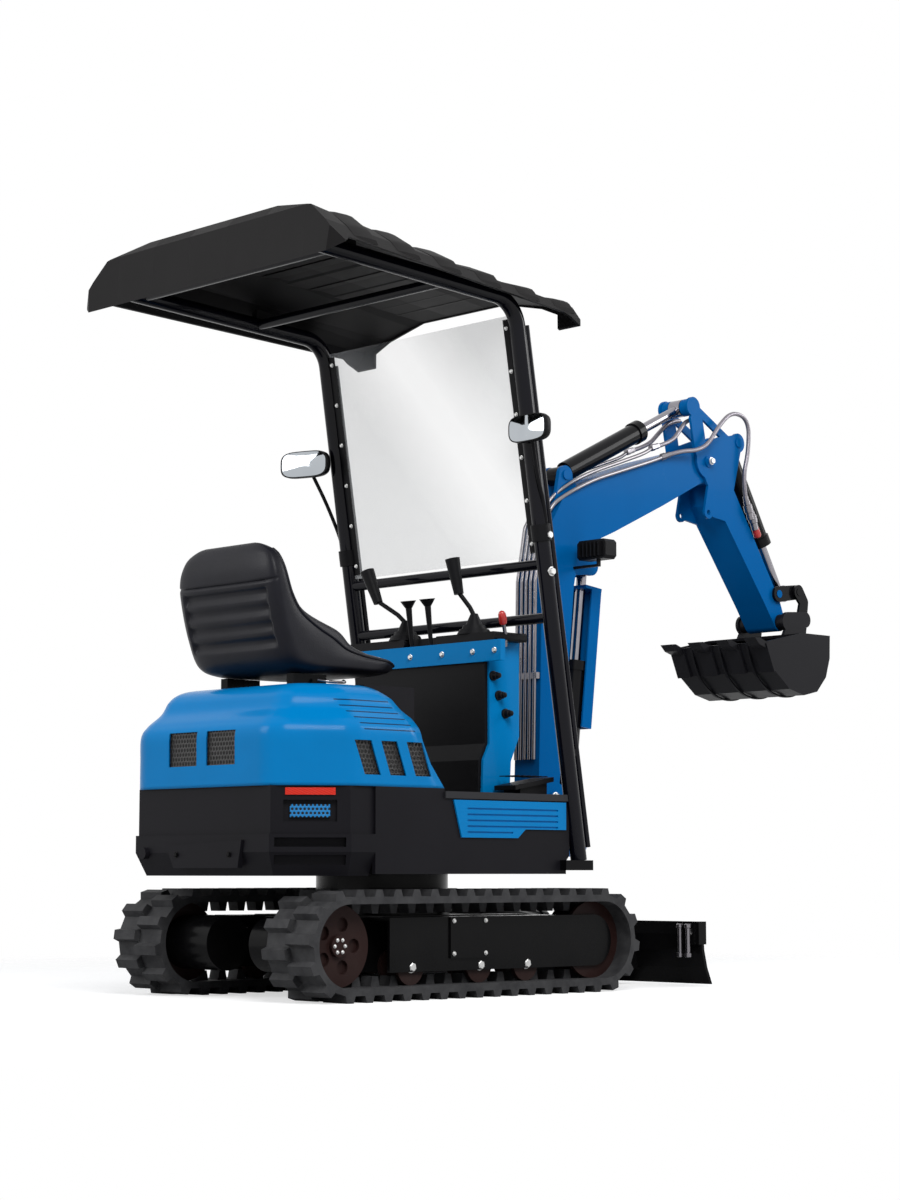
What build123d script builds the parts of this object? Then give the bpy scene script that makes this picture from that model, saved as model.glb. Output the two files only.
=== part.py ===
from build123d import *
from math import atan2, cos, degrees, hypot, pi, radians, sin, tan
import os

# Mini excavator on rubber tracks, in millimetres.
# X points forward, Y to the left, Z up, and the ground is at Z = 0.
# Every piece is drawn about the slew axis and moved once, on export, so that
# the origin lies under the middle of the whole outline.

# Undercarriage.
GAUGE = 680
SHOE_W = 200
TRACK_R = 156
LUG_H = 20
BAND_T = 20
WHEELBASE = 1040
PITCHES = 40
DRIVE_LUG_W = 44
DRIVE_LUG_H = 28
RIM_GAP = 28
RIM_T = 14
ROLLER_R = 51
ROLLER_XS = (-240, 35, 230)
FRAME_T = 10
FRAME_Z0 = 78
FRAME_Z1 = 232
FRAME_REAR = -330
CHASSIS_REAR = -260
CHASSIS_FRONT = 330
CHASSIS_Z0 = 110
CHASSIS_Z1 = 235
TURN_R = 205
TURN_TOP = 302
SLEW_GAP = 0.3

# Blade in front.
BLADE_HINGE = (430, 130)
BLADE_PIN_R = 14
BLADE_W = 880
BLADE_X = 975
BLADE_Z0 = 8
BLADE_Z1 = 205
BLADE_T = 12
PAD_T = 36
LASHING_R = 13
ARM_Y = 145
ARM_T = 26
BLADE_RAM_BASE = (365, 262)
BLADE_RAM_EYE = (905, 165)

# Upper body.
DECK_Z = 355
DECK_T = 12
FLOOR_Z = 592
FLOOR_T = 12
BODY_HALF = 440
BODY_FRONT = 361
TAIL_X = -703
TAIL_FLAT = 302
TAIL_CORNER = -520
LEDGE_Z = 466
LEDGE_IN = 8
SKIRT_T = 14
HOOD_TOP = 897
HOOD_BREAK = 768
HOOD_SHOULDER_Z = 824
HOOD_SHOULDER_IN = 62
HOOD_BROW_Z = 864
HOOD_BROW_IN = 76
HOOD_CROWN_IN = 135
HOOD_FRONT = -161
HOOD_T = 8
SEAT_HALF = 225
SEAT_PAN_Z = 930

# Canopy.
TUBE_R = 25
POST_IN = 4
POST_FOOT = (407, 396)
POST_LEAN = 9.15
CANOPY_Z = 2080
CANOPY_RISE = 0.05
CANOPY_REAR = -650
BEND_R = 100
BAR_R = 16
ROOF_OVERHANG = 164
ROOF_TAPER = 92
ROOF_REAR = -725
ROOF_FRONT = 352
ROOF_EDGE_Z = 2022
ROOF_TOP_Z = 2248
ROOF_NOSE_Z = 2148
ROOF_FALL = 0.09
ROOF_RIBS = 5
ROOF_RIB_STEP = 178
ROOF_RIB_H = 10
ROOF_T = 8
GLASS_T = 6

# Digging arm, as (x, z) points in the middle plane.
SWING_X = 560
SWING_PIN_R = 24
BOOM_FOOT = (680, 600)
BOOM_RAM_BASE = (792, 455)
BOOM_RAM_EYE = (900, 1370)
DIPPER_RAM_BASE = (780, 1660)
DIPPER_RAM_EYE = (1400, 1965)
BOOM_TIP = (1475, 1780)
BUCKET_RAM_BASE = (1640, 1865)
BUCKET_PIN = (1858, 1244)
BOOM_HALF = 55
PIN_R = 16
FIT = 0.05
SIDE_GAP = 3
DIPPER_T = 10
ROCKER_L = 98
ROCKER_BACK = 90
ROCKER_OUT = 45
ROCKER_ANGLE = 118
LINK_T = 10
BARREL_R = 34
ROD_R = 17
EYE_R = 30
EYE_HALF = 24
BUCKET_W = 430
BUCKET_T = 10
TOOTH_W = 52


def box(x0, x1, y0, y1, z0, z1):
    return Pos((x0 + x1) / 2, (y0 + y1) / 2, (z0 + z1) / 2) * Box(x1 - x0, y1 - y0, z1 - z0)


def slab(points, y0, y1):
    # A flat plate cut to an outline of (x, z) points, from y0 to y1.
    return Pos(0, y0, 0) * extrude(Plane.XZ * Polygon(*points, align=None), amount=y1 - y0, dir=(0, 1, 0))


def layer(points, z0, z1):
    # A flat plate cut to an outline of (x, y) points, from z0 to z1.
    return Pos(0, 0, z0) * extrude(Polygon(*points, align=None), amount=z1 - z0, dir=(0, 0, 1))


def pin(p, radius, y0, y1):
    return Pos(p[0], (y0 + y1) / 2, p[1]) * Rot(90, 0, 0) * Cylinder(radius, y1 - y0)


def post(x, y, radius, z0, z1):
    return Pos(x, y, (z0 + z1) / 2) * Cylinder(radius, z1 - z0)


def both(make):
    # The same shape on the right and on the left.
    right = make
    return [right, mirror(right, about=Plane.XZ)]


def fuse(first, *rest):
    return first.fuse(*rest).clean()


def slope(p, q):
    return degrees(atan2(q[1] - p[1], q[0] - p[0]))


def span(p, q):
    return hypot(q[0] - p[0], q[1] - p[1])


def along(p, q, distance):
    # A straight line's direction from p to q, as a place to build on: local X
    # runs along the line and local Z stays upright in the machine's plane.
    a = radians(slope(p, q))
    return Pos(p[0] + distance * cos(a), 0, p[1] + distance * sin(a)) * Rot(0, -slope(p, q), 0)


def bar(p, q, radius, start, end):
    middle = (start + end) / 2
    return along(p, q, middle) * Rot(0, 90, 0) * Cylinder(radius, end - start)


def barrel(base, eye, length, bore):
    # Cylinder tube with its base eye and gland, bored for the rod.
    ring = pin(base, EYE_R, -EYE_HALF, EYE_HALF)
    neck = bar(base, eye, EYE_HALF - 2, EYE_R * 0.6, EYE_R + 14)
    tube = bar(base, eye, BARREL_R, EYE_R + 12, length)
    gland = bar(base, eye, BARREL_R + 5, length - 32, length)
    body = fuse(ring, neck, tube, gland)
    body = body - pin(base, bore, -EYE_HALF - 1, EYE_HALF + 1)
    return body - bar(base, eye, ROD_R + FIT, EYE_R + 35, length + 1)


def rod(base, eye, inside):
    # Chrome rod with its end eye; the middle of the pin is left out, so the
    # eye may leave its pin a little as the arm moves.
    reach = span(base, eye)
    shaft = bar(base, eye, ROD_R, inside, reach - EYE_R * 0.6)
    head = pin(eye, EYE_R, -EYE_HALF, EYE_HALF)
    return fuse(shaft, head) - pin(eye, PIN_R, -EYE_HALF - 1, EYE_HALF + 1)


# Tracks: one closed loop each, with the drive lugs inside and the ground lugs
# outside. The two halves of the tread are staggered by half a pitch.
AXLE_Z = TRACK_R
BAND_R = TRACK_R - LUG_H
INNER_R = BAND_R - BAND_T
PITCH_R = (BAND_R + INNER_R) / 2
LOOP = 2 * WHEELBASE + 2 * pi * PITCH_R
PITCH = LOOP / PITCHES
LUG_TIP = 22
LUG_ROOT = 36


def loop_point(s, radius):
    # The point at travel s along the pitch line, at a distance from the line
    # through the two axles.
    s = s % LOOP
    half = WHEELBASE / 2
    turn = pi * PITCH_R
    if s < WHEELBASE:
        return (s - half, AXLE_Z - radius)
    s = s - WHEELBASE
    if s < turn:
        a = s / PITCH_R
        return (half + radius * sin(a), AXLE_Z - radius * cos(a))
    s = s - turn
    if s < WHEELBASE:
        return (half - s, AXLE_Z + radius)
    a = (s - WHEELBASE) / PITCH_R
    return (-half - radius * sin(a), AXLE_Z + radius * cos(a))


def loop_outline(phase, root, tip, root_w, tip_w):
    points = []
    for i in range(PITCHES):
        s = (i + phase) * PITCH
        points.append(loop_point(s - root_w / 2, root))
        points.append(loop_point(s - tip_w / 2, tip))
        points.append(loop_point(s + tip_w / 2, tip))
        points.append(loop_point(s + root_w / 2, root))
    return points


def make_track():
    outer_edge = -(GAUGE + SHOE_W) / 2
    middle = -GAUGE / 2
    inner_edge = -(GAUGE - SHOE_W) / 2
    hollow = Pos(0, 0, AXLE_Z) * (Plane.XZ * SlotCenterToCenter(WHEELBASE, 2 * INNER_R))
    hollow = Pos(0, outer_edge - 1, 0) * extrude(hollow, amount=SHOE_W + 2, dir=(0, 1, 0))
    near = slab(loop_outline(0.0, BAND_R, TRACK_R, LUG_ROOT, LUG_TIP), outer_edge, middle)
    far = slab(loop_outline(0.5, BAND_R, TRACK_R, LUG_ROOT, LUG_TIP), middle, inner_edge)
    band = fuse(near, far) - hollow
    guide = loop_outline(0.25, INNER_R + BAND_T / 4, INNER_R - DRIVE_LUG_H, LUG_ROOT, LUG_TIP)
    y0 = middle - DRIVE_LUG_W / 2
    y1 = middle + DRIVE_LUG_W / 2
    teeth = []
    for i in range(PITCHES):
        teeth.append(slab(guide[4 * i:4 * i + 4], y0, y1))
    return fuse(band, *teeth)


def rims(x, z, radius, hub, gap):
    # A double-rimmed wheel on the right track's middle line.
    y = -GAUGE / 2
    near = pin((x, z), radius, y - gap - RIM_T, y - gap)
    far = pin((x, z), radius, y + gap, y + gap + RIM_T)
    core = pin((x, z), hub, y - gap - 0.5, y + gap + 0.5)
    return fuse(near, far, core)


WHEEL_R = INNER_R - FIT
HUB_R = INNER_R - DRIVE_LUG_H - 6
REAR_AXLE = (-WHEELBASE / 2, AXLE_Z)
FRONT_AXLE = (WHEELBASE / 2, AXLE_Z)
PLATE_IN = GAUGE / 2 - RIM_GAP - RIM_T - FRAME_T
PLATE_OUT = GAUGE / 2 + RIM_GAP + RIM_T
ROLLER_Z = AXLE_Z - INNER_R + ROLLER_R + FIT
FRAME_R = (FRAME_Z1 - FRAME_Z0) / 2
FRAME_MID = (FRAME_Z0 + FRAME_Z1) / 2
SPROCKET_HUB_R = 30
SPROCKET_HOLES = 5
SPROCKET_HOLE_AT = 62
SPROCKET_HOLE_R = 20
MOTOR_R = 80
MOTOR_END = 95


def make_sprocket():
    wheel = rims(REAR_AXLE[0], REAR_AXLE[1], WHEEL_R, HUB_R, RIM_GAP)
    cover = pin(REAR_AXLE, SPROCKET_HUB_R, -PLATE_OUT - 12, -PLATE_OUT)
    wheel = fuse(wheel, cover)
    for i in range(SPROCKET_HOLES):
        a = 2 * pi * i / SPROCKET_HOLES
        spot = (REAR_AXLE[0] + SPROCKET_HOLE_AT * cos(a), REAR_AXLE[1] + SPROCKET_HOLE_AT * sin(a))
        wheel = wheel - pin(spot, SPROCKET_HOLE_R, -PLATE_OUT - 20, -PLATE_OUT + RIM_T - 3)
    return wheel


def make_idler():
    return rims(FRONT_AXLE[0], FRONT_AXLE[1], WHEEL_R, HUB_R, RIM_GAP)


def make_rollers():
    made = []
    for x in ROLLER_XS:
        made.append(rims(x, ROLLER_Z, ROLLER_R, 18, RIM_GAP))
    return made


def side_plate(y0, y1, rear):
    # Frame plate with a round nose about the idler's axle.
    nose = pin((FRONT_AXLE[0], FRAME_MID), FRAME_R, y0, y1)
    flat = box(rear, FRONT_AXLE[0], y0, y1, FRAME_Z0, FRAME_Z1)
    return fuse(flat, nose)


def make_track_frame():
    outer = side_plate(-PLATE_OUT - FRAME_T, -PLATE_OUT, FRAME_REAR)
    inner = side_plate(-PLATE_IN - FRAME_T, -PLATE_IN, FRAME_REAR)
    tail = box(REAR_AXLE[0], FRAME_REAR, -PLATE_IN - FRAME_T, -PLATE_IN, FRAME_Z0, FRAME_Z1)
    tail_nose = pin((REAR_AXLE[0], FRAME_MID), FRAME_R, -PLATE_IN - FRAME_T, -PLATE_IN)
    lid_front = FRONT_AXLE[0] - INNER_R - 10
    lid = box(FRAME_REAR, lid_front, -PLATE_OUT, -PLATE_IN - FRAME_T, FRAME_Z1 - FRAME_T, FRAME_Z1)
    cover = box(-95, 60, -PLATE_OUT - FRAME_T - 6, -PLATE_OUT - FRAME_T, FRAME_MID - 42, FRAME_Z1)
    return fuse(outer, inner, tail, tail_nose, lid, cover)


def make_motor():
    drum = pin(REAR_AXLE, MOTOR_R, -PLATE_IN, -MOTOR_END)
    port = box(REAR_AXLE[0], REAR_AXLE[0] + 110, -MOTOR_END - 100, -MOTOR_END - 20, 120, 200)
    return fuse(drum, port)


BLADE_EAR_R = 32
BLADE_EAR_T = 14
RAM_EAR_Y0 = EYE_HALF + SIDE_GAP
RAM_EAR_Y1 = RAM_EAR_Y0 + 14


def make_chassis():
    body = box(CHASSIS_REAR, CHASSIS_FRONT, -PLATE_IN, PLATE_IN, CHASSIS_Z0, CHASSIS_Z1)
    ring = post(0, 0, TURN_R, CHASSIS_Z1 - 1, TURN_TOP)
    made = [ring]
    for side in (-1, 1):
        for y in (ARM_Y - ARM_T / 2 - SIDE_GAP - BLADE_EAR_T, ARM_Y + ARM_T / 2 + SIDE_GAP):
            y0 = min(side * y, side * (y + BLADE_EAR_T))
            made.append(box(CHASSIS_FRONT - 1, BLADE_HINGE[0], y0, y0 + BLADE_EAR_T,
                            BLADE_HINGE[1] - 20, BLADE_HINGE[1] + BLADE_EAR_R))
            made.append(pin(BLADE_HINGE, BLADE_EAR_R, y0, y0 + BLADE_EAR_T))
        reach = ARM_T / 2 + SIDE_GAP + BLADE_EAR_T
        made.append(pin(BLADE_HINGE, BLADE_PIN_R, side * ARM_Y - reach, side * ARM_Y + reach))
        y0 = min(side * RAM_EAR_Y0, side * RAM_EAR_Y1)
        y1 = max(side * RAM_EAR_Y0, side * RAM_EAR_Y1)
        made.append(slab([(CHASSIS_FRONT - 90, CHASSIS_Z1 - 1), (CHASSIS_FRONT, CHASSIS_Z1 - 1),
                          (CHASSIS_FRONT, CHASSIS_Z1 - 70), (BLADE_RAM_BASE[0] + 20, BLADE_RAM_BASE[1] - 20),
                          (BLADE_RAM_BASE[0], BLADE_RAM_BASE[1] + EYE_R)], y0, y1))
        made.append(pin(BLADE_RAM_BASE, EYE_R, y0, y1))
    made.append(pin(BLADE_RAM_BASE, PIN_R - FIT, -RAM_EAR_Y1, RAM_EAR_Y1))
    return fuse(body, *made)


def make_blade():
    front = [(BLADE_X + 45, BLADE_Z0), (BLADE_X + 22, 60), (BLADE_X + 8, 115), (BLADE_X + 5, 165)]
    front = front + [(BLADE_X + 12, BLADE_Z1)]
    back = [(x - BLADE_T, z) for x, z in reversed(front)]
    board = slab(front + back, -BLADE_W / 2, BLADE_W / 2)
    made = []
    for side in (-1, 1):
        y0 = side * ARM_Y - ARM_T / 2
        y1 = side * ARM_Y + ARM_T / 2
        arm = slab([(BLADE_HINGE[0], BLADE_HINGE[1] - 30), (BLADE_X - 60, 50), (BLADE_X + 8, 50),
                    (BLADE_X - 4, 150), (BLADE_X - 60, 120), (BLADE_HINGE[0], BLADE_HINGE[1] + 30)], y0, y1)
        arm = fuse(arm, pin(BLADE_HINGE, 30, y0, y1))
        made.append(arm - pin(BLADE_HINGE, BLADE_PIN_R + FIT, y0 - 1, y1 + 1))
        y0 = min(side * RAM_EAR_Y0, side * RAM_EAR_Y1)
        y1 = max(side * RAM_EAR_Y0, side * RAM_EAR_Y1)
        made.append(fuse(pin(BLADE_RAM_EYE, EYE_R, y0, y1),
                         slab([(BLADE_RAM_EYE[0], BLADE_RAM_EYE[1] - EYE_R), (BLADE_X + 12, 80),
                               (BLADE_X - 2, 190), (BLADE_RAM_EYE[0], BLADE_RAM_EYE[1] + EYE_R)], y0, y1)))
    hole_y = BLADE_W / 2 - 40
    for y in (-hole_y, hole_y):
        made.append(box(BLADE_X - PAD_T / 2, BLADE_X + PAD_T / 2, y - 40, y + 40, BLADE_Z1 - 72, BLADE_Z1))
    board = fuse(board, *made)
    for y in (-hole_y, hole_y):
        board = board - Pos(BLADE_X, y, BLADE_Z1 - 32) * Rot(0, 90, 0) * Cylinder(LASHING_R, 80)
    return board


# Upper body: a deck plate carried by the slew ring, black skirts around it and
# a hollow blue hood over the engine behind the seat.
def tail_outline(inset, front):
    # Plan of the upper body, with slanted rear corners.
    half = BODY_HALF - inset
    flat = TAIL_FLAT - inset * 0.5
    return [(front, -half), (TAIL_CORNER + inset * 0.4, -half), (TAIL_X + inset, -flat),
            (TAIL_X + inset, flat), (TAIL_CORNER + inset * 0.4, half), (front, half)]


def corner_block(length, inside, outside, z0, z1):
    # A block lying along the slanted right rear corner, between two depths
    # measured inwards from its face.
    x = (TAIL_X + TAIL_CORNER) / 2
    y = -(TAIL_FLAT + BODY_HALF) / 2
    turn = slope((TAIL_X, -TAIL_FLAT), (TAIL_CORNER, -BODY_HALF))
    return Pos(x, y, (z0 + z1) / 2) * Rot(0, 0, turn) * Pos(0, (inside + outside) / 2, 0) * Box(
        length, inside - outside, z1 - z0)


POST_Y = BODY_HALF - POST_IN
ROOF_HALF = POST_Y + ROOF_OVERHANG
POST_TAN = tan(radians(POST_LEAN))
POST_DIR = (-sin(radians(POST_LEAN)), 0, cos(radians(POST_LEAN)))


def post_x(z):
    return POST_FOOT[0] - (z - POST_FOOT[1]) * POST_TAN


def post_line(y, radius):
    # The straight run of a canopy post, as a solid to cut clearances with.
    z = (POST_FOOT[1] + CANOPY_Z) / 2
    return Pos(post_x(z), y, z) * Rot(0, -POST_LEAN, 0) * Cylinder(radius, 2 * CANOPY_Z)


DECK_TOP = DECK_Z + DECK_T
LUG_Z = ((380, 408), (524, 552))
LUG_R = 52
EAR_HALF = 90
CW_FRONT = -430
CW_FOOT_IN = 30
CW_WALL = 90
DECK_IN = 42


def make_deck():
    half = BODY_HALF - SKIRT_T
    plate = fuse(box(CW_FRONT, BODY_FRONT, -half, half, DECK_Z, DECK_TOP),
                 layer(tail_outline(DECK_IN, CW_FRONT + 1), DECK_Z, DECK_TOP))
    ring = post(0, 0, TURN_R - 5, TURN_TOP + SLEW_GAP, DECK_Z + 1)
    made = [ring]
    head = box(BODY_FRONT - 60, BODY_FRONT, -EAR_HALF, EAR_HALF, DECK_TOP - 1, LUG_Z[1][1])
    made.append(head)
    for z0, z1 in LUG_Z:
        made.append(layer([(BODY_FRONT - 60, -EAR_HALF), (SWING_X, -LUG_R), (SWING_X, LUG_R),
                           (BODY_FRONT - 60, EAR_HALF)], z0, z1))
        made.append(post(SWING_X, 0, LUG_R, z0, z1))
    made.append(post(SWING_X, 0, SWING_PIN_R, LUG_Z[0][0] - 8, LUG_Z[1][1] + 8))
    foot_x = POST_FOOT[0]
    for side in (-1, 1):
        y = side * POST_Y
        made.append(box(BODY_FRONT - 40, foot_x + TUBE_R + 8, y - TUBE_R - 4, y + TUBE_R + 4,
                        DECK_TOP - 1, POST_FOOT[1]))
    return fuse(plate, *made)


CORNER_SLOTS = ((381, 408), (430, 456))
SLOT_L = 200
RECESS_L = 150
RECESS_Z = (500, 560)
RECESS_IN = 24
REFLECTOR_L = 140
REFLECTOR_Z = (574, 594)
REFLECTOR_IN = 16
VENT_PLATE_L = 112
VENT_PLATE_Z = (512, 548)


def make_counterweight():
    # A bumper with a drawn-in foot, a ledge, and an upper band set back from it.
    foot = loft([Pos(0, 0, DECK_Z - 5) * Polygon(*tail_outline(CW_FOOT_IN, CW_FRONT), align=None),
                 Pos(0, 0, LEDGE_Z - 50) * Polygon(*tail_outline(0, CW_FRONT), align=None)], ruled=True)
    bumper = layer(tail_outline(0, CW_FRONT), LEDGE_Z - 50, LEDGE_Z)
    band = layer(tail_outline(LEDGE_IN, CW_FRONT), LEDGE_Z, FLOOR_Z + 8)
    plate = extrude(Plane.YZ * Polygon((150, 436), (112, 372), (-176, 372), (-192, 450), align=None),
                    amount=18, dir=(1, 0, 0))
    plug = Rot(0, 90, 0) * Cylinder(17, 60)
    block = fuse(foot, bumper, band, Pos(TAIL_X - 8, 0, 0) * plate, Pos(TAIL_X + 18, 256, 415) * plug)
    block = block - layer(tail_outline(CW_WALL, CW_FRONT + 1), DECK_Z - 10, FLOOR_Z + 9)
    block = block - layer(tail_outline(DECK_IN, CW_FRONT + 1), DECK_Z, DECK_TOP)
    cuts = [corner_block(SLOT_L, 32, -10, z0, z1) for z0, z1 in CORNER_SLOTS]
    cuts.append(corner_block(RECESS_L, RECESS_IN, -10, *RECESS_Z))
    cuts.append(corner_block(REFLECTOR_L, REFLECTOR_IN, -10, *REFLECTOR_Z))
    for cut in cuts:
        block = block - cut - mirror(cut, about=Plane.XZ)
    return block


def make_reflector():
    return corner_block(REFLECTOR_L, REFLECTOR_IN, LEDGE_IN - 4, *REFLECTOR_Z)


def make_corner_vent():
    return corner_block(VENT_PLATE_L, RECESS_IN, RECESS_IN - 8, *VENT_PLATE_Z)


INSERT = [(-128, 568), (343, 568), (343, 486), (168, 486), (136, 460), (-96, 460)]
INSERT_IN = 5
INSERT_OUT = 5
GROOVES = 5
GROOVE_STEP = 17
GROOVE_H = 5
EDGE_OUT = 6


def make_skirt():
    wall = slab([(CW_FRONT, DECK_Z), (BODY_FRONT - 46, DECK_Z), (BODY_FRONT, DECK_Z + 55),
                 (BODY_FRONT, FLOOR_Z - FLOOR_T), (CW_FRONT, FLOOR_Z - FLOOR_T)], -BODY_HALF, -BODY_HALF + SKIRT_T)
    rail = box(CW_FRONT, HOOD_FRONT, -BODY_HALF, -BODY_HALF + SKIRT_T, FLOOR_Z - FLOOR_T - 1, FLOOR_Z + 8)
    foot = box(BODY_FRONT - 40, BODY_FRONT, -BODY_HALF - 1, -BODY_HALF + SKIRT_T + 1, DECK_Z - 1, POST_FOOT[1])
    deck = box(CW_FRONT - 1, BODY_FRONT + 1, -BODY_HALF + SKIRT_T, -BODY_HALF + SKIRT_T + 1, DECK_Z, DECK_TOP)
    pocket = slab(INSERT, -BODY_HALF - 1, -BODY_HALF + INSERT_IN)
    return fuse(wall, rail) - foot - post_line(-POST_Y, TUBE_R + 3) - deck - pocket


def make_insert():
    # Ribbed panel let into the skirt.
    panel = slab(INSERT, -BODY_HALF - INSERT_OUT, -BODY_HALF + INSERT_IN)
    for i in range(GROOVES):
        z = INSERT[0][1] - 22 - i * GROOVE_STEP
        end = INSERT[1][0] - 35 if z > INSERT[2][1] + GROOVE_H else INSERT[4][0] - 20
        panel = panel - box(INSERT[0][0] + 55, end, -BODY_HALF - INSERT_OUT - 1, -BODY_HALF - 1, z - GROOVE_H, z)
    return panel


def make_floor():
    wide = BODY_HALF + EDGE_OUT
    plate = box(HOOD_FRONT, BODY_FRONT, -wide, wide, FLOOR_Z - FLOOR_T, FLOOR_Z)
    for side in (-1, 1):
        y0 = min(side * BODY_HALF, side * wide)
        plate = fuse(plate, box(HOOD_FRONT, BODY_FRONT, y0, y0 + EDGE_OUT, FLOOR_Z - FLOOR_T - 8, FLOOR_Z))
    return plate - post_line(-POST_Y, TUBE_R + 3) - post_line(POST_Y, TUBE_R + 3)


def hood_solid(inset):
    # The hood's outer form, or with an inset the hollow inside it.
    front = HOOD_FRONT + (1 if inset else 0)
    rings = [(FLOOR_Z + 8 - (1 if inset else 0), 0), (HOOD_BREAK, 0), (HOOD_SHOULDER_Z, HOOD_SHOULDER_IN),
             (HOOD_BROW_Z - inset / 2, HOOD_BROW_IN), (HOOD_TOP - inset, HOOD_CROWN_IN)]
    sections = [Pos(0, 0, z) * Polygon(*tail_outline(deep + inset, front), align=None) for z, deep in rings]
    return fuse(*[loft([low, high], ruled=True) for low, high in zip(sections, sections[1:])])


SIDE_CUT = ((-161, 599), (-216, 668), (-250, 735), (-264, 800), (-300, 852), (-366, 899))
REAR_VENTS = ((22, 150), (-150, -22))
REAR_VENT_Z = (662, 760)
SIDE_VENT_X = -508
SIDE_VENT_STEP = 98
SIDE_VENT_W = 62
SIDE_VENT_LEAN = 34
SIDE_VENT_Z = (632, 728)
MESH_T = 3


def side_vent(i):
    x = SIDE_VENT_X + i * SIDE_VENT_STEP
    z0, z1 = SIDE_VENT_Z
    return [(x, z1), (x + SIDE_VENT_W, z1), (x + SIDE_VENT_W + SIDE_VENT_LEAN, z0), (x + SIDE_VENT_LEAN + 6, z0)]


def make_hood():
    shell = hood_solid(0) - hood_solid(HOOD_T)
    top = SIDE_CUT[-1]
    ahead = HOOD_FRONT + 50
    front = list(SIDE_CUT) + [(top[0], HOOD_TOP + 50), (ahead, HOOD_TOP + 50), (ahead, SIDE_CUT[0][1])]
    shell = shell - slab(front, -BODY_HALF - 5, BODY_HALF + 5)
    for y0, y1 in REAR_VENTS:
        shell = shell - box(TAIL_X - 5, TAIL_X + HOOD_T + 5, y0, y1, *REAR_VENT_Z)
    for i in range(3):
        shell = shell - slab(side_vent(i), -BODY_HALF - 5, -BODY_HALF + HOOD_T + 5)
        shell = shell - slab(side_vent(i), BODY_HALF - HOOD_T - 5, BODY_HALF + 5)
    return shell


def make_grilles():
    # Sheets of mesh behind the hood's vents.
    margin = 8
    rear_mesh = box(TAIL_X + HOOD_T, TAIL_X + HOOD_T + MESH_T, REAR_VENTS[1][0] - margin,
                    REAR_VENTS[0][1] + margin, REAR_VENT_Z[0] - margin, REAR_VENT_Z[1] + 4)
    x0 = SIDE_VENT_X - 4
    x1 = SIDE_VENT_X + 2 * SIDE_VENT_STEP + SIDE_VENT_W
    y = -BODY_HALF + HOOD_T
    z0 = SIDE_VENT_Z[0] - margin
    z1 = SIDE_VENT_Z[1] + 4
    side_mesh = slab([(x0, z1), (x1, z1), (x1 + SIDE_VENT_LEAN + 4, z0), (x0 + SIDE_VENT_LEAN, z0)], y, y + MESH_T)
    return [rear_mesh] + both(side_mesh)


def make_engine():
    block = box(-540, -190, -230, 230, DECK_TOP, 640)
    head = box(-500, -230, -180, 180, 640, 800)
    return fuse(block, head)


SEAT_BOX_FRONT = -150
SEAT_BOX_REAR = -348
SEAT_BOX_HALF = 300
RAIL_Y = 150


def make_seat_box():
    outer = box(SEAT_BOX_REAR, SEAT_BOX_FRONT, -SEAT_BOX_HALF, SEAT_BOX_HALF, FLOOR_Z, HOOD_TOP)
    inner = box(SEAT_BOX_REAR - 10, SEAT_BOX_FRONT - HOOD_T, -SEAT_BOX_HALF + HOOD_T, SEAT_BOX_HALF - HOOD_T,
                FLOOR_Z - 1, HOOD_TOP - HOOD_T)
    return outer - inner


SEAT_BACK_Z = 1312
SEAT_SIDE = 38
SEAT_ROUND = 75
SEAT_X = 24


def make_seat():
    # A bucket seat: one bent shell for pan and back, and a raised bolster on each side.
    pan = SEAT_PAN_Z
    shell = slab([(-560, pan), (-150, pan + 2), (-85, pan + 32), (-72, pan + 68), (-125, pan + 80),
                  (-300, pan + 62), (-450, pan + 62), (-520, pan + 100), (-575, pan + 240),
                  (-600, SEAT_BACK_Z), (-650, SEAT_BACK_Z),
                  (-662, pan + 270), (-640, pan + 130), (-606, pan + 40)], -SEAT_HALF, SEAT_HALF)
    side = [(-640, SEAT_BACK_Z - 30), (-575, SEAT_BACK_Z - 30), (-530, pan + 250), (-455, pan + 150),
            (-360, pan + 105), (-130, pan + 92), (-75, pan + 62), (-150, pan + 5), (-560, pan + 5), (-600, pan + 60)]
    bolsters = [slab(side, -SEAT_HALF, -SEAT_HALF + SEAT_SIDE), slab(side, SEAT_HALF - SEAT_SIDE, SEAT_HALF)]
    tall = SEAT_BACK_Z - pan + 60
    rounding = Plane.YZ * (Pos(0, SEAT_BACK_Z - tall / 2) * RectangleRounded(2 * SEAT_HALF, tall, SEAT_ROUND))
    rounding = Pos(-700, 0, 0) * extrude(rounding, amount=700, dir=(1, 0, 0))
    return Pos(SEAT_X, 0, 0) * (fuse(shell, *bolsters) & rounding)


def make_seat_rails():
    made = []
    for side in (-1, 1):
        y = side * RAIL_Y
        made.append(box(-500, -375, y - 15, y + 15, HOOD_TOP, SEAT_PAN_Z))
    return made


CONSOLE_X = 140
CONSOLE_DEEP = 150
CONSOLE_HALF = 292
BEAM_Z0 = 993
BEAM_Z1 = 1056
BEAM_HALF = 370
BEAM_T = 20
CHEEK_T = 8
DECK_LIFT = 26


def console_side(rear, front):
    # Side view of the console between two faces; its lower part steps back to the rear.
    return [(rear, BEAM_Z0), (front, BEAM_Z0), (front, 770), (front - 36, 695), (front - 42, FLOOR_Z),
            (rear - 30, FLOOR_Z), (rear - 26, 695), (rear, 745)]


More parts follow.
